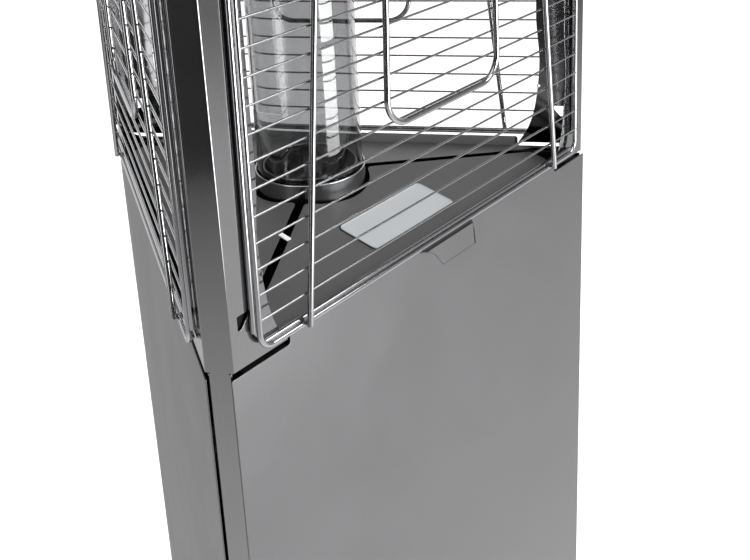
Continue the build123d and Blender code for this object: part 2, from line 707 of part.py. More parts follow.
# Flame tube, collar and burner
def collar_ring():
    """The polished collar round the tube's foot, with its floor."""
    wall = ring(COLLAR_R - SHEET, COLLAR_R, COLLAR_FOOT, COLLAR_TOP)
    rim = wall.edges().filter_by(GeomType.CIRCLE).group_by(Axis.Z)[-1]
    floor = ring(CUP_R + SEAT_GAP, COLLAR_R, COLLAR_FOOT, COLLAR_FOOT + SHEET)
    return fillet(rim, TINY_ROUND) + floor


def glass_seal():
    """The black seal that fills the collar and holds the glass in a groove."""
    seal = ring(CUP_R + LOOSE_FIT, COLLAR_R - SHEET - LOOSE_FIT, COLLAR_FOOT + SHEET, SEAL_TOP)
    return seal - ring(GLASS_IN - LOOSE_FIT, GLASS_R + LOOSE_FIT, GLASS_FOOT, SEAL_TOP + OVERRUN)


def glass_tube():
    """The glass flame tube."""
    tube = ring(GLASS_IN, GLASS_R, GLASS_FOOT, GLASS_TOP)
    ends = tube.edges().filter_by(GeomType.CIRCLE)
    return fillet(ends, TINY_ROUND)


def burner_cup():
    """The burner's cup: a straight polished wall with its foot flange and the collar's ledge."""
    wall = ring(CUP_R - SHEET, CUP_R, PAN_TOP, CUP_TOP)
    rim = wall.edges().filter_by(GeomType.CIRCLE).group_by(Axis.Z)[-1]
    cup = fillet(rim, TINY_ROUND) + ring(CUP_R - SHEET, CUP_FLANGE_R, PAN_TOP, PAN_TOP + SHEET)
    return cup + ring(CUP_R - SHEET, GLASS_R, COLLAR_FOOT - SHEET, COLLAR_FOOT)


def burner_bowl():
    """The polished wall of the bowl inside the cup, standing on the bowl's floor."""
    join = CUP_TOP - BOWL_JOIN
    wall_in = CUP_R - SHEET - BOWL_GAP
    return spun((
        (wall_in, join),
        (BOWL_MID_R, BOWL_MID_Z),
        (BOWL_FLOOR_R, BOWL_FLOOR),
        (BOWL_FOOT_R, BOWL_FLOOR),
        (BOWL_MID_R + SHEET, BOWL_MID_Z - SHEET),
        (wall_in, join - BOWL_JOIN),
    ))


def bowl_floor():
    """The round floor of the bowl on the mixing tube's flange, with holes for the probes."""
    floor = ring(MIXER_R + SEAT_GAP, BOWL_FOOT_R, BOWL_FLOOR - PLATE, BOWL_FLOOR)
    for angle in (0, TURN / 2):
        at = Rot(0, 0, angle) * Pos(PROBE_CIRCLE_R, 0, BOWL_FLOOR)
        floor -= at * Cylinder(PROBE_R + SEAT_GAP, OVERRUN)
    return floor


def burner_head():
    """The burner's hollow cap with its ring of ports and its neck."""
    head = ring(0, HEAD_R, HEAD_FOOT, HEAD_FOOT + HEAD_HEIGHT)
    rim = head.edges().filter_by(GeomType.CIRCLE).group_by(Axis.Z)[-1]
    head = fillet(rim, HEAD_WALL)
    neck_r = MIXER_R - MIXER_WALL - SEAT_GAP
    head += ring(0, neck_r, HEAD_FOOT - HEAD_NECK, HEAD_FOOT + HEAD_WALL)
    head -= ring(0, neck_r - HEAD_WALL, HEAD_FOOT - HEAD_NECK - OVERRUN, HEAD_FOOT + HEAD_HEIGHT / 2)
    head -= ring(0, HEAD_R - HEAD_WALL, HEAD_FOOT + HEAD_WALL, HEAD_FOOT + HEAD_HEIGHT - HEAD_WALL)
    z = HEAD_FOOT + HEAD_HEIGHT / 2
    port = rod((0, 0, z), (HEAD_R + OVERRUN, 0, z), HEAD_PORT_R)
    for i in range(HEAD_PORTS):
        head -= Rot(0, 0, i * TURN / HEAD_PORTS) * port
    return head


def mixer_tube():
    """The tube that mixes gas and air below the burner, with its flange and air holes."""
    tube = ring(MIXER_R - MIXER_WALL, MIXER_R, MIXER_FOOT, HEAD_FOOT)
    tube += ring(JET_R + RUN_FIT, MIXER_R, MIXER_FOOT, MIXER_FOOT + MIXER_WALL)
    flange_top = BOWL_FLOOR - PLATE
    tube += ring(MIXER_R - MIXER_WALL, MIXER_R + MIXER_FLANGE, flange_top - PLATE, flange_top)
    z = MIXER_FOOT + AIR_HOLE_RISE
    hole = rod((0, 0, z), (MIXER_R + OVERRUN, 0, z), AIR_HOLE_R)
    for i in range(AIR_HOLES):
        tube -= Rot(0, 0, (i + 1 / 2) * TURN / AIR_HOLES) * hole
    return tube


def gas_jet():
    """The jet block under the mixing tube and its nozzle."""
    block = Pos(0, 0, MIXER_FOOT - JET_HEIGHT / 2) * Box(JET_BLOCK, JET_BLOCK, JET_HEIGHT)
    return block + ring(0, JET_R, MIXER_FOOT - JET_HEIGHT / 2, MIXER_FOOT + JET_RISE)


def gas_pipe():
    """The bent pipe from the valve to the jet."""
    z = MIXER_FOOT - JET_HEIGHT / 2
    start = (VALVE_S, -(CONTROL_BACK - VALVE_DEPTH), z)
    path = FilletPolyline(start, (VALVE_S, 0, z), (JET_BLOCK / 2, 0, z), radius=PIPE_BEND)
    return sweep(Plane(origin=start, z_dir=(0, 1, 0)) * Circle(PIPE_R), path=path)


def probe(angle, top):
    """A slim rod through the bowl's floor beside the burner head."""
    at = Rot(0, 0, angle)
    body = rod((PROBE_CIRCLE_R, 0, PROBE_FOOT), (PROBE_CIRCLE_R, 0, PROBE_SHOULDER), PROBE_R)
    tip = rod((PROBE_CIRCLE_R, 0, PROBE_SHOULDER - PROBE_R), (PROBE_CIRCLE_R, 0, top), PROBE_TIP_R)
    return at * (body + tip)


# Controls
def control_plate():
    """The plate under the pan that holds the valve and the igniter."""
    foot = PAN_Z - CONTROL_DROP
    plate = box(-CONTROL_HALF, CONTROL_HALF, CONTROL_BACK, CONTROL_D, foot, PAN_Z)
    inner_d = CONTROL_D - CONTROL_FLANGE
    plate += box(-CONTROL_HALF, CONTROL_HALF, inner_d, CONTROL_D, PAN_Z - PLATE, PAN_Z)
    front, back = -CONTROL_D - OVERRUN, -CONTROL_BACK + OVERRUN
    plate -= rod((VALVE_S, front, VALVE_Z), (VALVE_S, back, VALVE_Z), SPINDLE_R + PLATE_HOLE_GAP)
    plate -= rod((-VALVE_S, front, VALVE_Z), (-VALVE_S, back, VALVE_Z), BUTTON_STEM_R + PLATE_HOLE_GAP)
    return plate


def gas_valve():
    """The gas valve's body behind the control plate, bored for the spindle."""
    z0, z1 = VALVE_Z - VALVE_HEIGHT / 2, VALVE_Z + VALVE_HEIGHT / 2
    back = CONTROL_BACK - VALVE_DEPTH
    body = box(VALVE_S - VALVE_HALF, VALVE_S + VALVE_HALF, back, CONTROL_BACK, z0, z1)
    body = fillet(body.edges().filter_by(Axis.Y), VALVE_ROUND)
    depth = SPINDLE_IN + SPINDLE_STROKE + PLATE
    bore_end = -CONTROL_BACK + depth
    return body - rod((VALVE_S, -CONTROL_D, VALVE_Z), (VALVE_S, bore_end, VALVE_Z), SPINDLE_R + RUN_FIT)


def valve_spindle():
    """The valve's push spindle."""
    front, back = -CONTROL_D - SPINDLE_OUT, -CONTROL_BACK + SPINDLE_IN
    return rod((VALVE_S, front, VALVE_Z), (VALVE_S, back, VALVE_Z), SPINDLE_R)


def control_knob():
    """The control knob with its grip bar, bored for the spindle."""
    back = -CONTROL_D - KNOB_STANDOFF
    front = back - KNOB_DEPTH + KNOB_GRIP_RISE
    skirt = rod((VALVE_S, back, VALVE_Z), (VALVE_S, front, VALVE_Z), KNOB_R)
    skirt = fillet(skirt.edges().filter_by(GeomType.CIRCLE).group_by(Axis.Y)[0], KNOB_ROUND)
    grip = box(
        VALVE_S - KNOB_GRIP_HALF,
        VALVE_S + KNOB_GRIP_HALF,
        -back,
        -back + KNOB_DEPTH,
        VALVE_Z - KNOB_R + KNOB_ROUND * 2,
        VALVE_Z + KNOB_R - KNOB_ROUND * 2,
    )
    bore_end = -CONTROL_D - SPINDLE_OUT - RUN_FIT
    bore = rod((VALVE_S, back + OVERRUN, VALVE_Z), (VALVE_S, bore_end, VALVE_Z), SPINDLE_R + RUN_FIT)
    return skirt + grip - bore


def igniter_body():
    """The spark igniter's barrel behind the control plate."""
    back = -CONTROL_BACK + IGNITER_DEPTH
    barrel = rod((-VALVE_S, -CONTROL_BACK, VALVE_Z), (-VALVE_S, back, VALVE_Z), IGNITER_R)
    depth = -CONTROL_BACK + BUTTON_STEM_IN + BUTTON_STROKE + PLATE
    bore_r = BUTTON_STEM_R + RUN_FIT
    return barrel - rod((-VALVE_S, -CONTROL_D, VALVE_Z), (-VALVE_S, depth, VALVE_Z), bore_r)


def igniter_button():
    """The igniter's push button and its stem."""
    back = -CONTROL_D - BUTTON_GAP
    head = rod((-VALVE_S, back, VALVE_Z), (-VALVE_S, back - BUTTON_HEAD, VALVE_Z), BUTTON_R)
    head = fillet(head.edges().filter_by(GeomType.CIRCLE).group_by(Axis.Y)[0], BUTTON_ROUND)
    near, far = back - BUTTON_ROUND, -CONTROL_BACK + BUTTON_STEM_IN
    return head + rod((-VALVE_S, near, VALVE_Z), (-VALVE_S, far, VALVE_Z), BUTTON_STEM_R)


def gas_inlet():
    """The union under the valve where the bottle's hose screws on."""
    top = VALVE_Z - VALVE_HEIGHT / 2
    y = -(CONTROL_BACK - VALVE_DEPTH / 2)
    foot = top - INLET_HEX
    hexagon = RegularPolygon(INLET_HEX_R, INLET_HEX_SIDES)
    nut = extrude(Pos(VALVE_S, y, foot) * hexagon, amount=INLET_HEX)
    return nut + rod((VALVE_S, y, foot), (VALVE_S, y, foot - INLET_THREAD), INLET_THREAD_R)


# Grilles
def closed_loop(points, radius, rod_r, d):
    """A closed round loop of rod with rounded corners, in the plane of a face."""
    path = FilletPolyline(*[Vector(s, -d, z) for s, z in points], radius=radius, close=True)
    start = path @ 0
    return sweep(Plane(origin=start, z_dir=path % 0) * Circle(rod_r), path=path)


def side_s(z):
    """Half-width of the grille's front loop at a height."""
    return lean_s(SIDE_S, SIDE_LEAN, z, LEAN_Z)


def grille_shape():
    """One grille: its front loop, back rods, leaning bars, centre bar, wires and hangers."""
    loop = closed_loop(
        (
            (-side_s(LOOP_BOTTOM), LOOP_BOTTOM),
            (side_s(LOOP_BOTTOM), LOOP_BOTTOM),
            (side_s(LOOP_TOP), LOOP_TOP),
            (-side_s(LOOP_TOP), LOOP_TOP),
        ),
        LOOP_ROUND,
        SIDE_ROD_R,
        SIDE_D,
    )
    rods = []
    back_d = SIDE_D - BACK_ROD_IN
    low, high = LOOP_BOTTOM + BACK_ROD_RISE, LOOP_TOP - BACK_ROD_RISE
    mid_top = LOOP_TOP + MID_HEAD_RISE
    for side in (-1, 1):
        foot = (side * (side_s(low + LOOP_ROUND) + BACK_ROD_OUT), -back_d, low + LOOP_ROUND)
        head = (side * (side_s(high - LOOP_ROUND) + BACK_ROD_OUT), -back_d, high - LOOP_ROUND)
        rods.append(rod(foot, head, SIDE_ROD_R))
        for i in range(WELDS):
            z = foot[2] + (head[2] - foot[2]) * (i + 1 / 2) / WELDS
            front = (side * side_s(z), -SIDE_D, z)
            rods.append(rod(front, (side * (side_s(z) + BACK_ROD_OUT), -back_d, z), WELD_R))
        foot = (side * lean_s(MID_S, MID_LEAN, MID_FOOT, LEAN_Z), -MID_D, MID_FOOT)
        head = (side * lean_s(MID_S, MID_LEAN, mid_top, LEAN_Z), -MID_D, mid_top)
        rods.append(rod(foot, head, MID_ROD_R))
        hang = (side * HANG_S, -SIDE_D, LOOP_TOP)
        knee = (side * HANG_S, -SIDE_D + HANG_IN, LOOP_TOP)
        tip = (side * HANG_S, -SIDE_D + HANG_IN, LOOP_TOP - HANG_DROP)
        rods.append(rod(hang, knee, HANG_R))
        rods.append(rod(knee, tip, HANG_R))
        rods.append(Pos(*knee) * Sphere(HANG_R))
    end = side_s(low) - LOOP_ROUND / 2
    rods.append(rod((-end, -back_d, low), (end, -back_d, low), SIDE_ROD_R))
    foot_s = lean_s(CENTRE_S, CENTRE_LEAN, CENTRE_BOTTOM, CENTRE_S_Z)
    head_s = lean_s(CENTRE_S, CENTRE_LEAN, mid_top, CENTRE_S_Z)
    path = FilletPolyline(
        Vector(-head_s, -CENTRE_D, mid_top),
        Vector(-foot_s, -CENTRE_D, CENTRE_BOTTOM),
        Vector(foot_s, -CENTRE_D, CENTRE_BOTTOM),
        Vector(head_s, -CENTRE_D, mid_top),
        radius=CENTRE_ROUND,
    )
    rods.append(sweep(Plane(origin=path @ 0, z_dir=path % 0) * Circle(CENTRE_ROD_R), path=path))
    for i in range(WIRES):
        z = WIRE_Z + i * WIRE_PITCH
        half = side_s(z) - WIRE_R / 2
        rods.append(rod((-half, -WIRE_D, z), (half, -WIRE_D, z), WIRE_R))
    return loop.fuse(*rods)


# Head of the tower
def header():
    """The plate over the posts, open round the flame tube's top ring."""
    plate = extrude(Pos(0, 0, POST_TOP) * truncated_triangle(WING_D, NOSE_R), amount=PLATE)
    return plate - Pos(0, 0, POST_TOP) * Cylinder(TOP_RING_R + SEAT_GAP, OVERRUN)


def header_walls():
    """Three walls under the header plate, slotted for the grilles' hangers."""
    wall = box(-HEADER_HALF, HEADER_HALF, WING_BACK - SHEET, WING_BACK, POST_TOP - HEADER_DROP, POST_TOP)
    slot_foot = LOOP_TOP - HANG_R - SEAT_GAP
    slot_top = slot_foot + HANG_SLOT_HEIGHT
    for side in (-1, 1):
        s0, s1 = side * HANG_S - HANG_SLOT_HALF, side * HANG_S + HANG_SLOT_HALF
        wall -= box(s0, s1, WING_BACK - OVERRUN, WING_BACK + OVERRUN, slot_foot, slot_top)
    return Compound([on_face(wall, face) for face in range(FACES)])


def top_ring():
    """The ring that guides the glass tube's top."""
    wall = ring(TOP_RING_R - SHEET, TOP_RING_R, HEADER_TOP - TOP_RING_DROP, HEADER_TOP + SHEET)
    flange = ring(TOP_RING_R - SHEET, TOP_RING_R + TOP_RING_FLANGE, HEADER_TOP, HEADER_TOP + SHEET)
    foot = HEADER_TOP - TOP_RING_DROP
    return wall + flange + ring(TOP_RING_R - SHEET - TOP_LIP, TOP_RING_R, foot, foot + SHEET)


def top_seal():
    """The soft ring between the glass and its top ring."""
    foot = HEADER_TOP - TOP_RING_DROP + SHEET
    return ring(GLASS_R + SEAT_GAP, TOP_RING_R - SHEET - SEAT_GAP, foot, foot + TOP_SEAL_HEIGHT)


def cap_pillars():
    """Three pillars that hold the cap over the header."""
    pillar = Pos(PILLAR_CIRCLE_R, 0, HEADER_TOP + PILLAR_HEIGHT / 2) * Cylinder(PILLAR_R, PILLAR_HEIGHT)
    bore = Pos(PILLAR_CIRCLE_R, 0, CAP_UNDER) * Cylinder(CAP_SCREW_R + RUN_FIT, CAP_SCREW_LENGTH * 2)
    return Compound([at_corner(pillar - bore, corner) for corner in range(FACES)])


def top_cap():
    """The rain cap: a flat plate with walls folded down all round."""
    d = WING_D + CAP_OVERHANG
    r = d / COS_HALF - CAP_NOSE_HALF * SIN_HALF / COS_HALF
    cap = extrude(Pos(0, 0, CAP_UNDER - CAP_DROP) * truncated_triangle(d, r), amount=CAP_DROP + PLATE)
    inner = truncated_triangle(d - PLATE, r - PLATE)
    cap -= extrude(Pos(0, 0, CAP_UNDER - CAP_DROP) * inner, amount=CAP_DROP)
    top_edges = cap.edges().group_by(Axis.Z)[-1]
    cap = fillet(top_edges, PLATE)
    hole = Pos(PILLAR_CIRCLE_R, 0, CAP_UNDER) * Cylinder(CAP_SCREW_R + RUN_FIT, OVERRUN)
    for corner in range(FACES):
        cap -= at_corner(hole, corner)
    return cap


def heat_deflector():
    """The dished plate under the cap that turns the hot gas outwards."""
    low, high = CAP_UNDER - DISH_DEPTH, CAP_UNDER - SHEET
    return spun(
        (
            (0, low),
            (DISH_FLAT_R, low),
            (DISH_SLOPE_R, high),
            (DISH_R, high),
            (DISH_R, high + SHEET),
            (DISH_SLOPE_R, high + SHEET),
            (DISH_FLAT_R, low + SHEET),
            (0, low + SHEET),
        )
    )


def cap_screws():
    """Three domed screws that hold the cap on its pillars."""
    top = CAP_UNDER + PLATE
    head = Pos(PILLAR_CIRCLE_R, 0, top + CAP_SCREW_HEAD / 2) * Cylinder(CAP_SCREW_HEAD_R, CAP_SCREW_HEAD)
    head = fillet(head.edges().filter_by(GeomType.CIRCLE).group_by(Axis.Z)[-1], CAP_SCREW_HEAD / 2)
    length = CAP_SCREW_LENGTH - PLATE
    shank = Pos(PILLAR_CIRCLE_R, 0, top + PLATE - length / 2) * Cylinder(CAP_SCREW_R, length)
    return Compound([at_corner(head + shank, corner) for corner in range(FACES)])


def build():
    """Every piece of the heater, by the name of its node."""
    parts = {}
    parts["base_plate"] = base_plate()
    parts["base_brackets"] = base_brackets()
    post = post_shape()
    for corner, name in enumerate(("post_a", "post_b", "post_c")):
        parts[name] = at_corner(post, corner)
    panel = panel_shape()
    parts["front_door"] = panel + door_lip()
    parts["left_panel"] = on_face(panel, 1)
    parts["right_panel"] = on_face(panel, 2)
    parts["hinge_leaves"] = hinge_leaves()
    parts["door_knuckles"] = door_knuckles()
    parts["door_magnets"] = door_magnets()
    parts["panel_blocks"] = panel_blocks()
    parts["deck_frame"] = deck_frame()
    parts["burner_pan"] = burner_pan()
    plate = deck_plate()
    for face, name in enumerate(("deck_front", "deck_left", "deck_right")):
        parts[name] = on_face(plate, face)
    parts["slot_clip"] = slot_clip()
    parts["blank_plate"] = blank_plate()
    parts["collar_ring"] = collar_ring()
    parts["glass_seal"] = glass_seal()
    parts["glass_tube"] = glass_tube()
    parts["burner_cup"] = burner_cup()
    parts["burner_bowl"] = burner_bowl()
    parts["bowl_floor"] = bowl_floor()
    parts["burner_head"] = burner_head()
    parts["mixer_tube"] = mixer_tube()
    parts["gas_jet"] = gas_jet()
    parts["gas_pipe"] = gas_pipe()
    parts["spark_electrode"] = probe(0, PROBE_TOP)
    parts["flame_sensor"] = probe(TURN / 2, PROBE_SHOULDER + PROBE_R * 2)
    parts["control_plate"] = control_plate()
    parts["gas_valve"] = gas_valve()
    parts["valve_spindle"] = valve_spindle()
    parts["control_knob"] = control_knob()
    parts["igniter_body"] = igniter_body()
    parts["igniter_button"] = igniter_button()
    parts["gas_inlet"] = gas_inlet()
    grille = grille_shape()
    for face, name in enumerate(("grille_front", "grille_left", "grille_right")):
        parts[name] = on_face(grille, face)
    parts["header"] = header()
    parts["header_walls"] = header_walls()
    parts["top_ring"] = top_ring()
    parts["top_seal"] = top_seal()
    parts["cap_pillars"] = cap_pillars()
    parts["top_cap"] = top_cap()
    parts["heat_deflector"] = heat_deflector()
    parts["cap_screws"] = cap_screws()
    return parts


os.makedirs("parts", exist_ok=True)
for node, shape in build().items():
    export_step(shape, f"parts/{node}.step")
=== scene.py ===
"""Looks of a three-sided gas heater: a bottle cabinet below, a flame tube between grilles above.

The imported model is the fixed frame. Sizes in the classes are millimetres and become metres when a
mesh is written. A face is described by s, along the face, and d, its distance out from the axis of
the flame tube. Angles are degrees, +Z is up, and the door faces -Y.
"""

import json
import logging
import math
from dataclasses import dataclass, field
from enum import Enum
from typing import Callable, Sequence

import bmesh
import bpy
import numpy as np
from mathutils import Matrix, Vector
from mathutils.geometry import tessellate_polygon

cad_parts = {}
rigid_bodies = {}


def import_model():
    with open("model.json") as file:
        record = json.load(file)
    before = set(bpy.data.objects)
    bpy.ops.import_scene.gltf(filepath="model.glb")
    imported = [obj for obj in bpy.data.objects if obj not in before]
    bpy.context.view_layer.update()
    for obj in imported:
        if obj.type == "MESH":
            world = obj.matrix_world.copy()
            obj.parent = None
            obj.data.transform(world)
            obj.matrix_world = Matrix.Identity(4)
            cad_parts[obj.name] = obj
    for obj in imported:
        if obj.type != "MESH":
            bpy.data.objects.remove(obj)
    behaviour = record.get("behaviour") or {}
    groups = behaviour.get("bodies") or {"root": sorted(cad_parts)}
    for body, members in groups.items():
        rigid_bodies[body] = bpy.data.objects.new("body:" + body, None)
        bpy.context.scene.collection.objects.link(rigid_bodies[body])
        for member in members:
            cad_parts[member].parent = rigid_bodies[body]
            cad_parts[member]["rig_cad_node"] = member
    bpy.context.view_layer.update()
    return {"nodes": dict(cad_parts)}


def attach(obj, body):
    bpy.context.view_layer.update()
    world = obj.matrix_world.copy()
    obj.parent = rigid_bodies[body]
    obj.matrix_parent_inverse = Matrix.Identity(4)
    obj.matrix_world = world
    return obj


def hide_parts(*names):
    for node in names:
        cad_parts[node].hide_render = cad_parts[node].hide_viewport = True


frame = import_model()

Pair = tuple[float, float]
Triple = tuple[float, float, float]
Cell = tuple[float, float, float, float]
Place = Callable[[np.ndarray, np.ndarray, np.ndarray], np.ndarray]
Socket = bpy.types.NodeSocket
Filling = dict[str | int, float | Sequence[float] | Socket]

log = logging.getLogger("heater")
MM = 0.001
FULL_TURN = 2 * math.pi
MIRROR = np.array([-1, 1])
NEAR = 0.01  # lengths closer than this count as one
TINY = 1e-6  # keeps a point on a fold inside both of its cells
NOTHING = 1e-20  # keeps a length of nothing from being divided by
END_CHAMFER = 0.18  # of a bar's radius
MERGE, SLIVER = 0.004, 0.001  # points nearer than one are merged, edges under the other dissolved


class Face(Enum):
    """The tower's three faces, by how far each is turned from the front."""

    FRONT = 0
    LEFT = -120
    RIGHT = 120


class Corner(Enum):
    """The tower's three corner posts, by the direction of each."""

    A = 210
    B = 330
    C = 90


@dataclass
class Surface:
    """Points in millimetres and the faces between them."""

    points: np.ndarray
    faces: list[tuple[int, ...]]

    def turned(self, degrees: float) -> "Surface":
        """Returns a copy turned about the tower's axis."""
        c, s = math.cos(math.radians(degrees)), math.sin(math.radians(degrees))
        return Surface(self.points @ np.array([[c, s, 0], [-s, c, 0], [0, 0, 1]]), self.faces)


def joined(parts: Sequence[Surface]) -> Surface:
    """Puts several surfaces in one.

    Args:
        parts: the surfaces, in any order.

    Returns:
        One surface that holds them all.
    """
    starts = np.cumsum([0] + [len(part.points) for part in parts]).tolist()
    shifted = ((face, start) for part, start in zip(parts, starts) for face in part.faces)
    faces = [tuple(i + start for i in face) for face, start in shifted]
    return Surface(np.concatenate([part.points for part in parts]), faces)


def grid(points: np.ndarray, round_u: bool = False, round_v: bool = False) -> Surface:
    """Quads between neighbouring points of a grid.

    Args:
        points: array of shape (rows, columns, 3).
        round_u: the last row joins the first.
        round_v: the last column joins the first.

    Returns:
        The surface.
    """
    rows, columns = points.shape[:2]
    u = np.arange(rows if round_u else rows - 1)[:, None]
    v = np.arange(columns if round_v else columns - 1)[None, :]
    u1, v1 = (u + 1) % rows, (v + 1) % columns
    corners = ((u, v), (u, v1), (u1, v1), (u1, v))
    quads = np.stack([row * columns + column for row, column in corners], axis=-1)
    return Surface(points.reshape(-1, 3), [tuple(q) for q in quads.reshape(-1, 4).tolist()])


def spun(profile: Sequence[Pair] | np.ndarray, sides: int = 144) -> Surface:
    """A profile in radius and height turned once about the tower's axis.

    Each point (r, z) becomes (r cos a, r sin a, z) for the angles a of a full turn.

    Args:
        profile: closed line, with its inside on the left.
        sides: steps in the turn.

    Returns:
        The surface of revolution.
    """
    r, z = np.array(profile, float).T[:, None]
    a = np.linspace(0, FULL_TURN, sides, endpoint=False)[:, None]
    return grid(np.stack([r * np.cos(a), r * np.sin(a), z + 0 * a], axis=-1), round_u=True)


def arc(centre: Sequence[float], radius: float, start: float, end: float, count: int) -> np.ndarray:
    """The points centre + radius (cos a, sin a) for even steps of a, in radians."""
    a = np.linspace(start, end, count)[:, None]
    return np.array(centre) + radius * np.hstack([np.cos(a), np.sin(a)])


def rounded_line(
    points: Sequence[Pair], radii: Sequence[float], steps: int = 6, closed: bool = False
) -> np.ndarray:
    """A flat line whose corners are arcs.

    At a corner the arc leaves each side at radius / tan(half angle) from the corner, and its centre
    lies on the bisector at radius / sin(half angle).

    Args:
        points: the corners.
        radii: one radius for each point; 0 keeps it sharp.
        steps: spans in each arc.
        closed: the last point joins the first.

    Returns:
        Array of shape (n, 2).
    """
    corners = np.array(points, float)
    out: list[np.ndarray] = []
    for i, radius in enumerate(radii):
        here = corners[i]
        if radius <= 0 or (not closed and i in (0, len(corners) - 1)):
            out.append(here[None])
            continue
        sides = corners[[i - 1, (i + 1) % len(corners)]] - here
        sides /= np.linalg.norm(sides, axis=1)[:, None]
        half = math.acos(np.clip(sides[0] @ sides[1], -1, 1)) / 2
        centre = sides.sum(0) / np.linalg.norm(sides.sum(0)) * radius / math.sin(half)
        a0, a1 = (math.atan2(y, x) for x, y in sides * radius / math.tan(half) - centre)
        sweep = (a1 - a0 + math.pi) % FULL_TURN - math.pi
        out.append(arc(here + centre, radius, a0, a0 + sweep, steps + 1))
    return np.concatenate(out)


def rounded_box(low: np.ndarray, high: np.ndarray, radius: float, steps: int) -> np.ndarray:
    """A closed flat box with round corners, from its low corner to its high one."""
    (u0, v0), (u1, v1) = low, high
    return rounded_line([(u0, v0), (u1, v0), (u1, v1), (u0, v1)], [radius] * 4, steps, True)


def tube(
    path: np.ndarray,
    radius: float,
    sides: int = 12,
    up: Sequence[float] = (0, 1, 0),
    closed: bool = False,
) -> Surface:
    """A round bar along a flat path.

    At each path point p with tangent t, the ring is p + radius (cos a * side + sin a * up), where
    side is up x t. Open ends get a flat cap with a small chamfer.

    Args:
        path: array of shape (n, 3), in a plane at right angles to up.
        radius: of the bar.
        sides: steps round the bar.
        up: the plane's normal.
        closed: the path is a loop.

    Returns:
        The bar's surface.
    """
    tangent = np.roll(path, -1, 0) - np.roll(path, 1, 0) if closed else np.gradient(path, axis=0)
    tangent /= np.linalg.norm(tangent, axis=1)[:, None]
    side = np.cross(up, tangent)
    side /= np.linalg.norm(side, axis=1)[:, None]
    a = np.linspace(0, FULL_TURN, sides, endpoint=False)[:, None]
    ring = np.cos(a) * side[:, None] + np.sin(a) * np.array(up, float)
    if closed:
        return grid(path[:, None] + radius * ring, round_u=True, round_v=True)
    chamfer = radius * END_CHAMFER

    def cap(i: int, inwards: np.ndarray) -> list[np.ndarray]:
        """The three rings of an end: its middle, its flat's edge and the bar's edge."""
        rings = ((0, 0.0), (0, radius - chamfer), (1, radius))
        return [path[i] + inwards * moved + size * ring[i] for moved, size in rings]

    first, last = cap(0, chamfer * tangent[0]), cap(-1, -chamfer * tangent[-1])
    middle = path[1:-1, None] + radius * ring[1:-1]
    return grid(np.stack([*first, *middle, *last[::-1]]), round_v=True)


def rod(start: Triple, end: Triple, radius: float, sides: int) -> Surface:
    """A straight round bar between two points.

    Args:
        start: one end.
        end: the other end.
        radius: of the bar.
        sides: steps round it.

    Returns:
        The bar's surface.
    """
    path = np.linspace(np.array(start, float), np.array(end, float), num=3)
    run = path[-1] - path[0]
    mostly = 0.9
    up = np.cross(run, (1, 0, 0) if abs(run[0]) < mostly * np.linalg.norm(run) else (0, 0, 1))
    return tube(path, radius, sides, up / np.linalg.norm(up))


def inset(loop: np.ndarray, distance: float) -> np.ndarray:
    """A closed flat loop moved to its left by a distance, with mitred corners.

    Each point moves along the mean of its two side normals, by distance / |mean|^2.

    Args:
        loop: array of shape (n, 2).
        distance: of the move.

    Returns:
        The moved loop.
    """
    ahead = np.roll(loop, -1, 0) - loop
    ahead /= np.linalg.norm(ahead, axis=1)[:, None]
    normal = np.stack([-ahead[:, 1], ahead[:, 0]], axis=-1)
    mean = (normal + np.roll(normal, 1, 0)) / 2
    least = 0.2
    return loop + mean * distance / np.maximum((mean**2).sum(1), least)[:, None]


def wound(loop: np.ndarray, left: bool = True) -> np.ndarray:
    """The loop with its inside on the left, or on the right."""
    area = (loop[:, 0] * np.roll(loop[:, 1], -1) - loop[:, 1] * np.roll(loop[:, 0], -1)).sum()
    return loop if (area > 0) == left else loop[::-1]


def rim(loop: np.ndarray, levels: Sequence[Pair], place: Place) -> Surface:
    """A profile carried round a loop: at each level the loop is inset and laid at a depth."""
    rows = [place(*inset(loop, move).T, np.full(len(loop), depth)) for move, depth in levels]
    return grid(np.stack(rows), round_v=True)


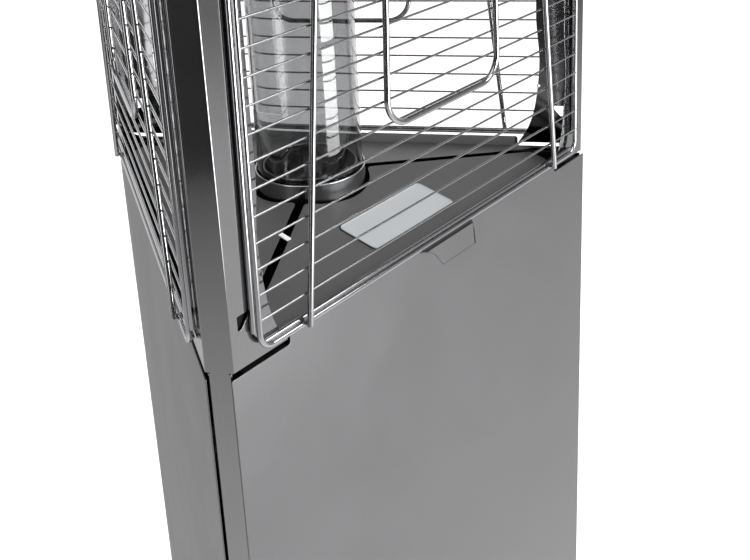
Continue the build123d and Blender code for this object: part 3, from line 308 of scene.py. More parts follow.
def sheet(
    outline: np.ndarray,
    holes: Sequence[np.ndarray],
    thickness: float,
    edge: float,
    place: Place,
    cells: Sequence[Cell] = ((-math.inf, math.inf, -math.inf, math.inf),),
) -> Surface:
    """A sheet of metal cut to an outline, with rounded edges, laid or folded into place.

    The rim is a profile carried round each loop: from the front face, a quarter round of the edge
    radius, the wall, a quarter round, and the back face. Faces are filled between the inset loops.

    Args:
        outline: closed loop in the sheet's own u and v.
        holes: closed loops in it.
        thickness: of the sheet.
        edge: radius of the rounded edges.
        place: maps arrays u, v and depth behind the front face to points in millimetres.
        cells: boxes (low u, high u, low v, high v) that are filled one by one. Where the sheet is
            folded they meet, and there the outline has a point on each side of the fold.

    Returns:
        The sheet's closed surface.
    """
    loops = [wound(outline)] + [wound(hole, False) for hole in holes]
    quarter = np.linspace(0, math.pi / 2, num=4)
    inwards, down = edge * (1 - np.sin(quarter)), edge * (1 - np.cos(quarter))
    levels = [*zip(inwards, down), *zip(down, thickness - inwards)]
    parts = [rim(loop, levels, place) for loop in loops]
    inner = [inset(loop, edge) for loop in loops]
    u, v = inner[0].T
    for u0, u1, v0, v1 in cells:
        low, high = (u0, v0), (u1, v1)
        cell = [inner[0][(u >= u0 - TINY) & (u <= u1 + TINY) & (v >= v0) & (v <= v1)]]
        cell += [h for h in inner[1:] if (h.min(0) > low).all() and (h.max(0) < high).all()]
        flat = np.concatenate(cell)
        corners = [[Vector((*point, 0)) for point in loop] for loop in cell]
        triangles = [tuple(triangle) for triangle in tessellate_polygon(corners)]
        for depth, faces in ((0.0, triangles), (thickness, [t[::-1] for t in triangles])):
            parts.append(Surface(place(*flat.T, np.full(len(flat), depth)), faces))
    return joined(parts)


def strips(cuts: Sequence[float], low: float = -math.inf, high: float = math.inf) -> list[Cell]:
    """Cells between folds at the given values of u, all from low v to high v."""
    bounds = [-math.inf, *cuts, math.inf]
    return [(u0, u1, low, high) for u0, u1 in zip(bounds[:-1], bounds[1:])]


def level_place(top: Callable[[np.ndarray], np.ndarray]) -> Place:
    """Maps u = s, v = -d and depth to a deck whose top height is a function of d."""
    return lambda u, v, depth: np.stack([u, v, top(-v) - depth], axis=-1)


def block(low: Triple, high: Triple, edge: float) -> Surface:
    """A block with rounded long edges, as a thick level sheet."""
    outline = rounded_box(low[:2], high[:2], edge * 2, steps=3)
    return sheet(outline, [], high[2] - low[2], edge, level_place(lambda d: high[2]))


def flat_shaded(mesh: bpy.types.Mesh, angle: float) -> None:
    """Gives each corner the area-weighted normal of its point's faces: flat sheets shade flat.

    A face counts for a corner where its normal is within the angle of the corner's own face. All
    corners are sorted by point, and each is compared with its k-th follower for k = 1, 2, and on.

    Args:
        mesh: the mesh, shaded smooth.
        angle: the largest angle that is shaded smooth, in degrees.
    """
    faces, corners = len(mesh.polygons), len(mesh.loops)
    normal, area = np.empty(faces * 3), np.empty(faces)
    sides, point = np.empty(faces, int), np.empty(corners, int)
    mesh.polygons.foreach_get("normal", normal)
    mesh.polygons.foreach_get("area", area)
    mesh.polygons.foreach_get("loop_total", sides)
    mesh.loops.foreach_get("vertex_index", point)
    normal = normal.reshape(-1, 3)
    order = np.argsort(point, kind="stable")
    point, own = point[order], np.repeat(np.arange(faces), sides)[order]
    facing, weighted = normal[own], (normal * area[:, None])[own]
    total = weighted.copy()
    least, k = math.cos(math.radians(angle)), 1
    while (same := point[k:] == point[:-k]).any():
        alike = (same & ((facing[k:] * facing[:-k]).sum(axis=1) > least))[:, None]
        total[k:] += alike * weighted[:-k]
        total[:-k] += alike * weighted[k:]
        k += 1
    result = np.empty_like(total)
    result[order] = total / np.maximum(np.linalg.norm(total, axis=1), NOTHING)[:, None]
    mesh.normals_split_custom_set(result.tolist())


def linked(name: str, data: bpy.types.ID) -> bpy.types.Object:
    """Makes an object of some data and puts it into the scene.

    Args:
        name: the object's name.
        data: its mesh, camera or lamp.

    Returns:
        The object.
    """
    item = bpy.data.objects.new(name, data)
    bpy.context.scene.collection.objects.link(item)
    return item


def publish(
    name: str,
    surface: Surface,
    finish: "Finish",
    body: str = "tower",
    stands_for: Sequence[str] = (),
    smooth: float = 35.0,
) -> None:
    """Writes a surface into a mesh object and hands it to the frame.

    Doubles are merged and normals pointed outwards, so seams and poles are closed.

    Args:
        name: the piece's name.
        surface: its shape, in millimetres.
        finish: its finish.
        body: the body that it rides on.
        stands_for: the CAD nodes that it replaces.
        smooth: the largest angle that is shaded smooth, in degrees.
    """
    mesh = bpy.data.meshes.new(name)
    mesh.from_pydata((surface.points * MM).tolist(), [], surface.faces)
    shape = bmesh.new()
    shape.from_mesh(mesh)
    bmesh.ops.remove_doubles(shape, verts=shape.verts, dist=MERGE * MM)
    bmesh.ops.dissolve_degenerate(shape, edges=shape.edges, dist=SLIVER * MM)
    bmesh.ops.recalc_face_normals(shape, faces=shape.faces)
    shape.to_mesh(mesh)
    shape.free()
    mesh.shade_smooth()
    flat_shaded(mesh, smooth)
    piece = linked(name, mesh)
    finish.wear(piece)
    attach(piece, body)
    if stands_for:
        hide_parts(*stands_for)
    log.info("%s: %d points, %d faces", name, len(mesh.vertices), len(mesh.polygons))


class NodeTools:
    """Short ways to add, fill and link shader nodes in one tree."""

    def __init__(self, tree: bpy.types.NodeTree) -> None:
        """Keeps the tree that the nodes go into, and empties it."""
        self.tree = tree
        tree.nodes.clear()

    def fill(self, node: bpy.types.Node, inputs: Filling) -> bpy.types.Node:
        """Links or sets a node's inputs.

        Args:
            node: the node.
            inputs: a socket to link or a value to set, by the input's name or number.

        Returns:
            The node.
        """
        for key, value in inputs.items():
            if isinstance(value, Socket):
                self.tree.links.new(value, node.inputs[key])
            else:
                node.inputs[key].default_value = value
        return node

    def add(self, kind: str, inputs: Filling | None = None, **settings: object) -> bpy.types.Node:
        """Adds a node.

        Args:
            kind: its type, without the first word that all shader nodes share.
            inputs: what its inputs get.
            settings: its properties.

        Returns:
            The node.
        """
        node = self.tree.nodes.new("ShaderNode" + kind)
        for key, value in settings.items():
            setattr(node, key, value)
        return self.fill(node, inputs or {})

    def math(self, kind: str, a: Socket | float, b: Socket | float, clamp: bool = False) -> Socket:
        """Adds a Math node on sockets or numbers and returns its output."""
        return self.add("Math", {0: a, 1: b}, operation=kind, use_clamp=clamp).outputs[0]

    def summed(self, masks: Sequence[Socket], shares: Pair, clamp: bool = False) -> Socket:
        """Two masks, each times its share, as one."""
        parts = (self.math("MULTIPLY", mask, share) for mask, share in zip(masks, shares))
        return self.math("ADD", *parts, clamp=clamp)

    def ranged(self, value: Socket, to: Pair, start: Pair = (0, 1), kind: str = "LINEAR") -> Socket:
        """A number between two, by a value that runs from one start to the other."""
        ends = {"From Min": start[0], "From Max": start[1], "To Min": to[0], "To Max": to[1]}
        return self.add("MapRange", ends | {"Value": value}, interpolation_type=kind).outputs[0]

    def blended(self, mask: Socket, low: Triple, high: Triple) -> Socket:
        """A colour between two, by a mask."""
        return self.add("Mix", {0: mask, 6: (*low, 1), 7: (*high, 1)}, data_type="RGBA").outputs[2]

    def bump(self, height: Socket, strength: float, distance: float) -> Socket:
        """A normal bent by a height."""
        inputs = {"Strength": strength, "Distance": distance, "Height": height}
        return self.add("Bump", inputs).outputs[0]


def grain(tools: NodeTools, given: bpy.types.NodeOutputs) -> Filling:
    """Fine rolled grain: noise stretched along the sheet, as a mask and a height.

    Args:
        tools: the group's tree.
        given: the group's own inputs.

    Returns:
        What the group puts out.
    """
    x, y, z = tools.add("SeparateXYZ", {0: given["Vector"]}).outputs
    along = tools.math("MULTIPLY", given["Scale"], given["Stretch"])
    scales = ((x, given["Scale"]), (y, given["Scale"]), (z, along))
    scaled = {i: tools.math("MULTIPLY", *pair) for i, pair in enumerate(scales)}
    point = tools.add("CombineXYZ", scaled).outputs[0]
    inputs = {"Vector": point, "Scale": 1.0, "Detail": 3.0, "Roughness": 0.6}
    height = tools.add("TexNoise", inputs).outputs["Fac"]
    middle = 0.5
    spread = tools.math("MULTIPLY", tools.math("SUBTRACT", height, middle), given["Contrast"])
    return {"Mask": tools.math("ADD", spread, middle, clamp=True), "Height": height}


def handling(tools: NodeTools, given: bpy.types.NodeOutputs, soft: float = 0.16) -> Filling:
    """Soft patches that handling and cleaning leave: slow noise with finer noise inside.

    Args:
        tools: the group's tree.
        given: the group's own inputs.
        soft: half the width of a patch's soft edge.

    Returns:
        What the group puts out.
    """
    inputs = {"Vector": given["Vector"], "Scale": given["Scale"]}
    slow = tools.add("TexNoise", inputs | {"Detail": 5.0, "Roughness": 0.62, "Distortion": 0.6})
    ends = (tools.math("SUBTRACT", given["Cover"], soft), tools.math("ADD", given["Cover"], soft))
    return {"Mask": tools.ranged(slow.outputs["Fac"], (0.0, 1.0), ends, "SMOOTHSTEP")}


def specks(tools: NodeTools, given: bpy.types.NodeOutputs, few: float = 0.6) -> Filling:
    """Small pits and dust: the nearest-point distance of a cell pattern, thinned to few cells.

    Args:
        tools: the group's tree.
        given: the group's own inputs.
        few: the share of cells that stay bare.

    Returns:
        What the group puts out.
    """
    cells = tools.add("TexVoronoi", {"Vector": given["Vector"], "Scale": given["Scale"]}).outputs
    near = tools.math("LESS_THAN", cells["Distance"], given["Size"])
    red = tools.add("SeparateColor", {0: cells["Color"]}).outputs[0]
    return {"Mask": tools.math("MULTIPLY", near, tools.math("GREATER_THAN", red, few))}


def effect(
    tools: NodeTools, kind: Callable[..., Filling], place: Socket, **values: float
) -> bpy.types.NodeOutputs:
    """Places a shared effect in a material, and builds its group the first time.

    Args:
        tools: the material's tree.
        kind: the function that fills the group, whose name the group takes.
        place: the coordinates that the pattern follows.
        values: the material's own values for the group's inputs.

    Returns:
        The outputs of the group's node.
    """
    inputs = {"Vector": place} | {label.title(): value for label, value in values.items()}
    group = bpy.data.node_groups.get(kind.__name__)
    if not group:
        group = bpy.data.node_groups.new(kind.__name__, "ShaderNodeTree")
        inner, socket = NodeTools(group), group.interface.new_socket
        for label in inputs:
            values_of = "NodeSocketVector" if label == "Vector" else "NodeSocketFloat"
            socket(name=label, in_out="INPUT", socket_type=values_of)
        results = kind(inner, group.nodes.new("NodeGroupInput").outputs)
        for label in results:
            socket(name=label, in_out="OUTPUT", socket_type="NodeSocketFloat")
        inner.fill(group.nodes.new("NodeGroupOutput"), results)
    return tools.add("Group", inputs, node_tree=group).outputs


def fresh_material(name: str) -> tuple[bpy.types.Material, NodeTools]:
    """Makes a material with an empty tree.

    Args:
        name: the material's name.

    Returns:
        The material, and the tools for its tree.
    """
    material = bpy.data.materials.new(name)
    material.use_nodes = True
    return material, NodeTools(material.node_tree)


def toned(colour: Triple, factor: float) -> Triple:
    """A colour made lighter or darker by a factor."""
    return tuple(min(1.0, c * factor) for c in colour)


@dataclass(frozen=True)
class Finish:
    """What every finish has: a name, a record slot and a way to dress a piece."""

    name: str
    record_slot: str

    def wear(self, piece: bpy.types.Object) -> None:
        """Gives a piece this finish as its only material.

        Args:
            piece: the object.
        """
        material = bpy.data.materials.get(self.name) or self.made()
        piece.data.materials.clear()
        piece.data.materials.append(material)

    def made(self) -> bpy.types.Material:
        """Makes the material.

        Returns:
            The new material.
        """
        material, tools = fresh_material(self.name)
        inputs = self.paint(tools, tools.add("TexCoord").outputs["Object"])
        tools.add("OutputMaterial", {0: tools.add("BsdfPrincipled", inputs).outputs[0]})
        return material

    def paint(self, tools: NodeTools, place: Socket) -> Filling:
        """What the shader's inputs get; each kind of finish has its own."""
        raise NotImplementedError


@dataclass(frozen=True)
class Grain:
    """How fine a grain is, how far it is drawn out along the piece, and how deep its bump is."""

    scale: float
    stretch: float
    depth: float


ROLLED = Grain(900.0, 0.04, 0.02)
ROLLED_FINE = Grain(900.0, 0.04, 0.001)
BLASTED = Grain(900.0, 1.0, 0.02)
BLASTED_FINE = Grain(1500.0, 1.0, 0.03)
BUFFED = Grain(1500.0, 0.05, 0.003)
PLATED_BAR = Grain(1200.0, 1.0, 0.002)
PLATED = Grain(300.0, 1.0, 0.05)
GROUND = Grain(1500.0, 0.05, 0.02)
MACHINED = Grain(700.0, 0.4, 0.04)
CAST = Grain(500.0, 1.0, 0.25)
DRAWN = Grain(500.0, 0.1, 0.03)


@dataclass(frozen=True)
class MetalFinish(Finish):
    """Metal sheet or bar: grain, cleaning patches and a little roughness change."""

    colour: Triple
    roughness: float
    spread: float
    tone: float
    grain: Grain = ROLLED
    metallic: float = 1.0
    shares: Pair = (0.6, 0.4)
    grain_height: float = 0.0004

    def paint(self, tools: NodeTools, place: Socket) -> Filling:
        """Grain drives tone, roughness and bump; patches drive roughness and tone.

        Args:
            tools: the material's tree.
            place: the object's coordinates.

        Returns:
            What the shader's inputs get.
        """
        scale, stretch = self.grain.scale, self.grain.stretch
        rolled = effect(tools, grain, place, scale=scale, stretch=stretch, contrast=1.6)
        patches = effect(tools, handling, place, scale=7.0, cover=0.5)
        both = tools.summed((rolled["Mask"], patches["Mask"]), self.shares)
        ends = (toned(self.colour, 1 - self.tone), toned(self.colour, 1 + self.tone))
        rough = (self.roughness - self.spread, self.roughness + self.spread)
        return {
            "Base Color": tools.blended(both, *ends),
            "Roughness": tools.ranged(both, rough),
            "Metallic": self.metallic,
            "Normal": tools.bump(rolled["Height"], self.grain.depth, self.grain_height),
        }


@dataclass(frozen=True)
class MouldedFinish(Finish):
    """Plastic, rubber, ceramic or fibre: fine skin texture with dust in it."""

    colour: Triple
    roughness: float
    skin_scale: float
    skin_depth: float
    coat: float = 0.0
    skin_height: float = 0.0003
    shares: Pair = (0.5, 0.25)
    dusty: Pair = (0.85, 0.03)
    spread: Pair = (-0.06, 0.1)

    def paint(self, tools: NodeTools, place: Socket) -> Filling:
        """An even fine skin gives the bump; patches and specks lighten it a little.

        Args:
            tools: the material's tree.
            place: the object's coordinates.

        Returns:
            What the shader's inputs get.
        """
        skin = effect(tools, grain, place, scale=self.skin_scale, stretch=1.0, contrast=1.2)
        patches = effect(tools, handling, place, scale=30.0, cover=0.55)
        dust = effect(tools, specks, place, scale=500.0, size=0.1)
        mask = tools.summed((patches["Mask"], dust["Mask"]), self.shares, clamp=True)
        light = tuple(c * self.dusty[0] + self.dusty[1] for c in self.colour)
        rough = tuple(self.roughness + change for change in self.spread)
        return {
            "Base Color": tools.blended(mask, self.colour, light),
            "Roughness": tools.ranged(skin["Mask"], rough),
            "Coat Weight": self.coat,
            "Normal": tools.bump(skin["Height"], self.skin_depth, self.skin_height),
        }


@dataclass(frozen=True)
class GlassFinish(Finish):
    """Drawn glass tube: clear, slightly grey, with faint draw lines and wipe marks."""

    tint: Triple = (0.56, 0.565, 0.57)
    ior: float = 1.47
    mark_rough: float = 0.03
    mark_tone: float = 0.97
    line_depth: float = 0.006
    line_height: float = 0.0003

    def paint(self, tools: NodeTools, place: Socket) -> Filling:
        """Draw lines bend the normal a touch and wipe marks raise the roughness a touch.

        Args:
            tools: the material's tree.
            place: the object's coordinates.

        Returns:
            What the shader's inputs get.
        """
        lines = effect(tools, grain, place, scale=60.0, stretch=0.02, contrast=1.0)
        marks = effect(tools, handling, place, scale=14.0, cover=0.58)["Mask"]
        return {
            "Roughness": tools.ranged(marks, (0.0, self.mark_rough)),
            "Base Color": tools.blended(marks, self.tint, toned(self.tint, self.mark_tone)),
            "IOR": self.ior,
            "Transmission Weight": 1.0,
            "Normal": tools.bump(lines["Height"], self.line_depth, self.line_height),
        }


PANEL_STEEL = MetalFinish("panel_steel", "satin_steel", (0.185, 0.185, 0.189), 0.34, 0.04, 0.05)
POST_STEEL = MetalFinish("post_steel", "satin_steel", (0.27, 0.27, 0.275), 0.11, 0.015, 0.04, ROLLED_FINE)
CAP_STEEL = MetalFinish("cap_steel", "satin_steel", (0.36, 0.36, 0.365), 0.32, 0.04, 0.05)
BASE_STEEL = MetalFinish("base_steel", "satin_steel", (0.22, 0.22, 0.225), 0.42, 0.05, 0.08)
DECK_STEEL = MetalFinish("deck_steel", "dark_steel", (0.13, 0.13, 0.132), 0.48, 0.05, 0.06, ROLLED, 0.35)
HIDDEN_STEEL = MetalFinish("hidden_steel", "dark_steel", (0.06, 0.06, 0.062), 0.55, 0.06, 0.1)
ZINC = MetalFinish("zinc_plate", "zinc_steel", (0.42, 0.43, 0.44), 0.4, 0.08, 0.12, PLATED)
# Near-black painted shade for the panel returns, the deck skirts and the backings behind post A's hook slots.
SHADE_PAINTED_STEEL = MetalFinish("shaded_steel", "dark_steel", (0.012, 0.012, 0.013), 0.6, 0.05, 0.1)
# Near-white matte paint on the slot clip: a painted glint standing in for its chrome's reflection.
CLIP_PAINTED_GLINT = MetalFinish("bright_clip", "bright_chrome", (0.95,) * 3, 0.5, 0.05, 0.03, BLASTED, 0.0)
HEM_STEEL = MetalFinish("hem_steel", "dark_steel", (0.27, 0.27, 0.274), 0.7, 0.05, 0.06, ROLLED, 0.0)
# Bright metal for thin rings over the cup's and collar's rims: a painted highlight along each rim.
EDGE_PAINTED_HIGHLIGHT = MetalFinish("edge_polish", "bright_chrome", (0.8, 0.8, 0.81), 0.25, 0.02, 0.04, BUFFED)
DARK_POLISH = MetalFinish("dark_polish", "bright_chrome", (0.42, 0.42, 0.425), 0.1, 0.01, 0.05, BUFFED)
COLLAR_STEEL = MetalFinish("collar_steel", "bright_chrome", (0.27, 0.27, 0.275), 0.2, 0.02, 0.05, BUFFED)
CHROME_ROD = MetalFinish("chrome_rod", "bright_chrome", (0.44, 0.44, 0.45), 0.13, 0.02, 0.04, PLATED_BAR)
POLISHED = MetalFinish("polished_steel", "bright_chrome", (0.6, 0.6, 0.61), 0.1, 0.04, 0.04, GROUND)
SILVER = MetalFinish("plate_silver", "blank_silver", (0.48, 0.495, 0.51), 0.42, 0.05, 0.04, BLASTED_FINE, 0.0)
BRASS = MetalFinish("brass", "brass_fitting", (0.62, 0.47, 0.22), 0.3, 0.07, 0.12, MACHINED)
CAST_METAL = MetalFinish("cast_metal", "cast_valve", (0.42, 0.42, 0.43), 0.55, 0.08, 0.1, CAST)
COPPER = MetalFinish("copper", "copper_pipe", (0.66, 0.33, 0.2), 0.28, 0.08, 0.15, DRAWN)
SEAL = MouldedFinish("fibre_seal", "black_seal", (0.006, 0.006, 0.006), 0.85, 500.0, 0.2)
KNOB_PLASTIC = MouldedFinish("knob_plastic", "black_knob", (0.02, 0.02, 0.02), 0.42, 900.0, 0.1)
BUTTON_PLASTIC = MouldedFinish("button_plastic", "red_button", (0.42, 0.02, 0.015), 0.25, 900.0, 0.03, 0.4)
MAGNET_PLASTIC = MouldedFinish("magnet_plastic", "black_magnet", (0.03, 0.03, 0.03), 0.5, 600.0, 0.1)
CERAMIC = MouldedFinish("fired_ceramic", "white_ceramic", (0.72, 0.69, 0.62), 0.3, 600.0, 0.05, 0.3)
GLASS = GlassFinish("tube_glass", "clear_glass")


def dress(finishes: dict[str, Finish]) -> None:
    """Gives CAD nodes that keep their shapes a finish each.

    Args:
        finishes: the finish of each node.
    """
    for node, finish in finishes.items():
        finish.wear(frame["nodes"][node])
        log.info("%s: CAD shape in %s", node, finish.name)


@dataclass
class Plan:
    """Sizes that the whole tower shares."""

    nose_r: float = 330.0
    nose_half: float = 12.0
    skin: float = 1.2
    bend: float = 2.0
    cut_top: float = 793.4
    wing_bottom: float = 798.4
    post_top: float = 2080.0
    floor_t: float = 3.0
    panel_bottom: float = 40.0
    cos_half: float = 0.5
    sin_half: float = math.sqrt(3) / 2

    @property
    def wing_d(self) -> float:
        """Outside of the wings, from the axis."""
        return self.nose_r * self.cos_half + self.nose_half * self.sin_half

    @property
    def crease_s(self) -> float:
        """Where nose and wing meet, along the face."""
        return self.nose_r * self.sin_half - self.nose_half * self.cos_half

    @property
    def panel_d(self) -> float:
        """Outside of the lower panels, from the axis."""
        return self.wing_d + self.skin

    def unrolled(self, s: float | np.ndarray) -> float | np.ndarray:
        """Works out where a point of a wing is on the flat sheet.

        Args:
            s: the point's place along the face.

        Returns:
            Its distance from the middle of the nose, measured round the bend.
        """
        half_turn = math.pi / 6
        bend_saves = self.bend * (math.tan(half_turn) - half_turn)
        return self.nose_half - bend_saves + self.crease_s - s


@dataclass
class Section:
    """A folded section: straight runs joined by arcs, with its outside on the right."""

    points: Sequence[Pair] | np.ndarray
    bend: float
    line: np.ndarray = field(init=False)
    length: np.ndarray = field(init=False)
    normal: np.ndarray = field(init=False)

    def __post_init__(self) -> None:
        """Works out the line, the distance along it and the normals on its right."""
        self.line = rounded_line(self.points, [self.bend] * len(self.points))
        step = np.diff(self.line, axis=0)
        reach = np.linalg.norm(step, axis=1)
        self.length = np.concatenate([[0], np.cumsum(reach)])
        right = np.stack([step[:, 1], -step[:, 0]], axis=-1) / reach[:, None]
        ends = np.concatenate([right[:1], (right[1:] + right[:-1]) / 2, right[-1:]])
        self.normal = ends / np.linalg.norm(ends, axis=1)[:, None]

    @property
    def half(self) -> float:
        """Half the section's length."""
        return self.length[-1] / 2

    def folds(self, beyond: float) -> np.ndarray:
        """The points of its arcs past a distance from its middle, from near to far."""
        bends = self.length[1:-1] - self.half
        return bends[bends > beyond + NEAR]

    def place(self, u: np.ndarray, v: np.ndarray, depth: np.ndarray) -> np.ndarray:
        """Maps distance along the section, height and depth to points about a corner on +X.

        Args:
            u: distance along the section.
            v: height.
            depth: behind the section's outside.

        Returns:
            Array of shape (n, 3).
        """
        at, out = (
            np.stack([np.interp(u, self.length, values[:, i]) for i in (0, 1)], axis=-1)
            for values in (self.line, self.normal)
        )
        at -= out / np.linalg.norm(out, axis=1)[:, None] * depth[:, None]
        return np.column_stack([at, v])


@dataclass
class Posts:
    """The three corner posts: a nose with two wings above the deck, a channel below it."""

    plan: Plan
    wing_inner: float = 238.0
    wing_spare: float = 20.0
    flare: tuple[Pair, ...] = (
        (238.0, 960.0), (242.0, 898.0), (240.6, 875.0), (239.0, 860.0),
        (234.0, 833.0), (227.0, 814.0), (217.0, 798.4),
    )
    flare_points: int = 40
    hole: Triple = (241.3, 871.3, 1.8)
    hook: tuple[Pair, ...] = ((256.0, 846.0), (271.0, 846.0), (271.0, 833.0), (267.3, 833.0))
    hook_round: float = 1.0
    pocket_margin: float = 2.0
    pocket_gap: float = 1.6
    pocket_t: float = 0.6
    pocket_edge: float = 0.2
    channel_half: float = 10.5
    channel_depth: float = 22.0
    channel_lip: float = 5.5
    strip_half: float = 8.5
    slit: float = 1.0
    slit_in: float = 0.5
    edge: float = 0.3

    def wing_edge(self) -> np.ndarray:
        """The flared inner edge from top to bottom: cubic spans through its points.

        Returns:
            Array of s and height, of shape (n, 2).
        """
        s, z = np.array(self.flare)[::-1].T
        fine = np.linspace(z[-1], z[0], self.flare_points)
        slope = np.gradient(s, z)
        slope[-1] = 0.0
        i = np.clip(np.searchsorted(z, fine) - 1, 0, len(z) - 2)
        h = z[i + 1] - z[i]
        t = (fine - z[i]) / h
        start, end = (2 * t**3 - 3 * t**2 + 1) * s[i], (3 * t**2 - 2 * t**3) * s[i + 1]
        leave, meet = (t**3 - 2 * t**2 + t) * h * slope[i], (t**3 - t**2) * h * slope[i + 1]
        return np.stack([start + leave + end + meet, fine], axis=-1)

    def wings(self) -> Section:
        """The section above the deck: the nose with a wing on each side.

        Returns:
            The section.
        """
        plan = self.plan
        reach = plan.crease_s - min(s for s, _ in self.flare) + self.wing_spare
        tip = (plan.nose_r - reach * plan.sin_half, plan.nose_half + reach * plan.cos_half)
        side = [tip, (plan.nose_r, plan.nose_half)]
        return Section([(x, -y) for x, y in side] + side[::-1], plan.bend)

    def channel(self) -> Section:
        """The section below the deck: the nose with a lipped wall on each side.

        Returns:
            The section.
        """
        plan, half = self.plan, self.channel_half
        back = plan.nose_r - self.channel_depth
        side = [(back, self.channel_lip - half), (back, -half), (plan.nose_r, -half)]
        return Section(side + [(x, -y) for x, y in reversed(side)], plan.bend)

    def shape(self) -> Surface:
        """One sheet whose flat nose strip runs the whole height, folded two ways beside it.

        Above the slit at the wings' foot it follows the wing section, below it the channel's. u is
        the distance from the middle of the nose, so both sections agree on the nose strip.

        Returns:
            The post at the corner on +X.
        """
        plan, wings, channel = self.plan, self.wings(), self.channel()
        foot, gap = plan.wing_bottom, plan.wing_bottom - self.slit
        middle = (foot + gap) / 2
        slit_u = self.strip_half - self.slit_in
        high_u = np.append(self.strip_half, wings.folds(self.strip_half))
        low_u = np.concatenate([[self.strip_half], channel.folds(self.strip_half), [channel.half]])
        s, z = self.wing_edge()[::-1].T
        rows = (
            (low_u, plan.floor_t), (low_u[::-1], gap), (slit_u, (gap, foot)), (high_u, foot),
            (plan.unrolled(s), z), (plan.unrolled(self.wing_inner), (plan.post_top,)),
            (high_u[::-1], plan.post_top),
        )
        right = np.concatenate([np.stack(np.broadcast_arrays(u, v), axis=-1) for u, v in rows])
        outline = np.concatenate([right, (right * MIRROR)[::-1]])
        s, z, r = self.hole
        round_hole = arc((plan.unrolled(s), z), r, 0, FULL_TURN, count=21)[:-1]
        hook = [(plan.unrolled(s), z) for s, z in self.hook]
        hook = rounded_line(hook, [self.hook_round] * 4, steps=4, closed=True)
        cells = strips(np.append(-high_u[::-1], high_u), middle)
        cells[len(high_u)] = (-self.strip_half, self.strip_half, -math.inf, math.inf)
        low_cells = strips(np.append(-low_u[-2::-1], low_u[:-1]), -math.inf, middle)
        del low_cells[len(low_u) - 1]

        def folded(u: np.ndarray, v: np.ndarray, depth: np.ndarray) -> np.ndarray:
            """The wing section above the slit, the channel section below it."""
            up, down = (section.place(u + section.half, v, depth) for section in (wings, channel))
            return np.where((v > middle)[:, None], up, down)

        holes = [round_hole, hook, round_hole * MIRROR, hook * MIRROR]
        return sheet(outline, holes, plan.skin, self.edge, folded, cells + low_cells)

    def pockets(self) -> Surface:
        """A near-black sheet behind each hook slot at the corner on +X: painted shade seen through the slot.

        Returns:
            Both shade backings.
        """
        plan, wings = self.plan, self.wings()
        slot = np.array([(plan.unrolled(s), z) for s, z in self.hook])
        low, high = slot.min(0) - self.pocket_margin, slot.max(0) + self.pocket_margin
        right = rounded_box(low, high, self.hook_round, steps=3)

        def behind(u: np.ndarray, v: np.ndarray, depth: np.ndarray) -> np.ndarray:
            """Wing distance, height and depth to points just behind the wing's back."""
            return wings.place(u + wings.half, v, depth + plan.skin + self.pocket_gap)

        pair = (right, right * MIRROR)
        return joined([sheet(box, [], self.pocket_t, self.pocket_edge, behind) for box in pair])

    def build(self) -> None:
        """Makes the posts in their places."""
        post, pockets = self.shape(), self.pockets()
        for corner in Corner:
            name = f"post_{corner.name.lower()}"
            publish(f"{name}_sheet", post.turned(corner.value), POST_STEEL, stands_for=[name])
        # near-black backings behind the hook slots: painted shade
        publish("post_a_pockets", pockets.turned(Corner.A.value), SHADE_PAINTED_STEEL)


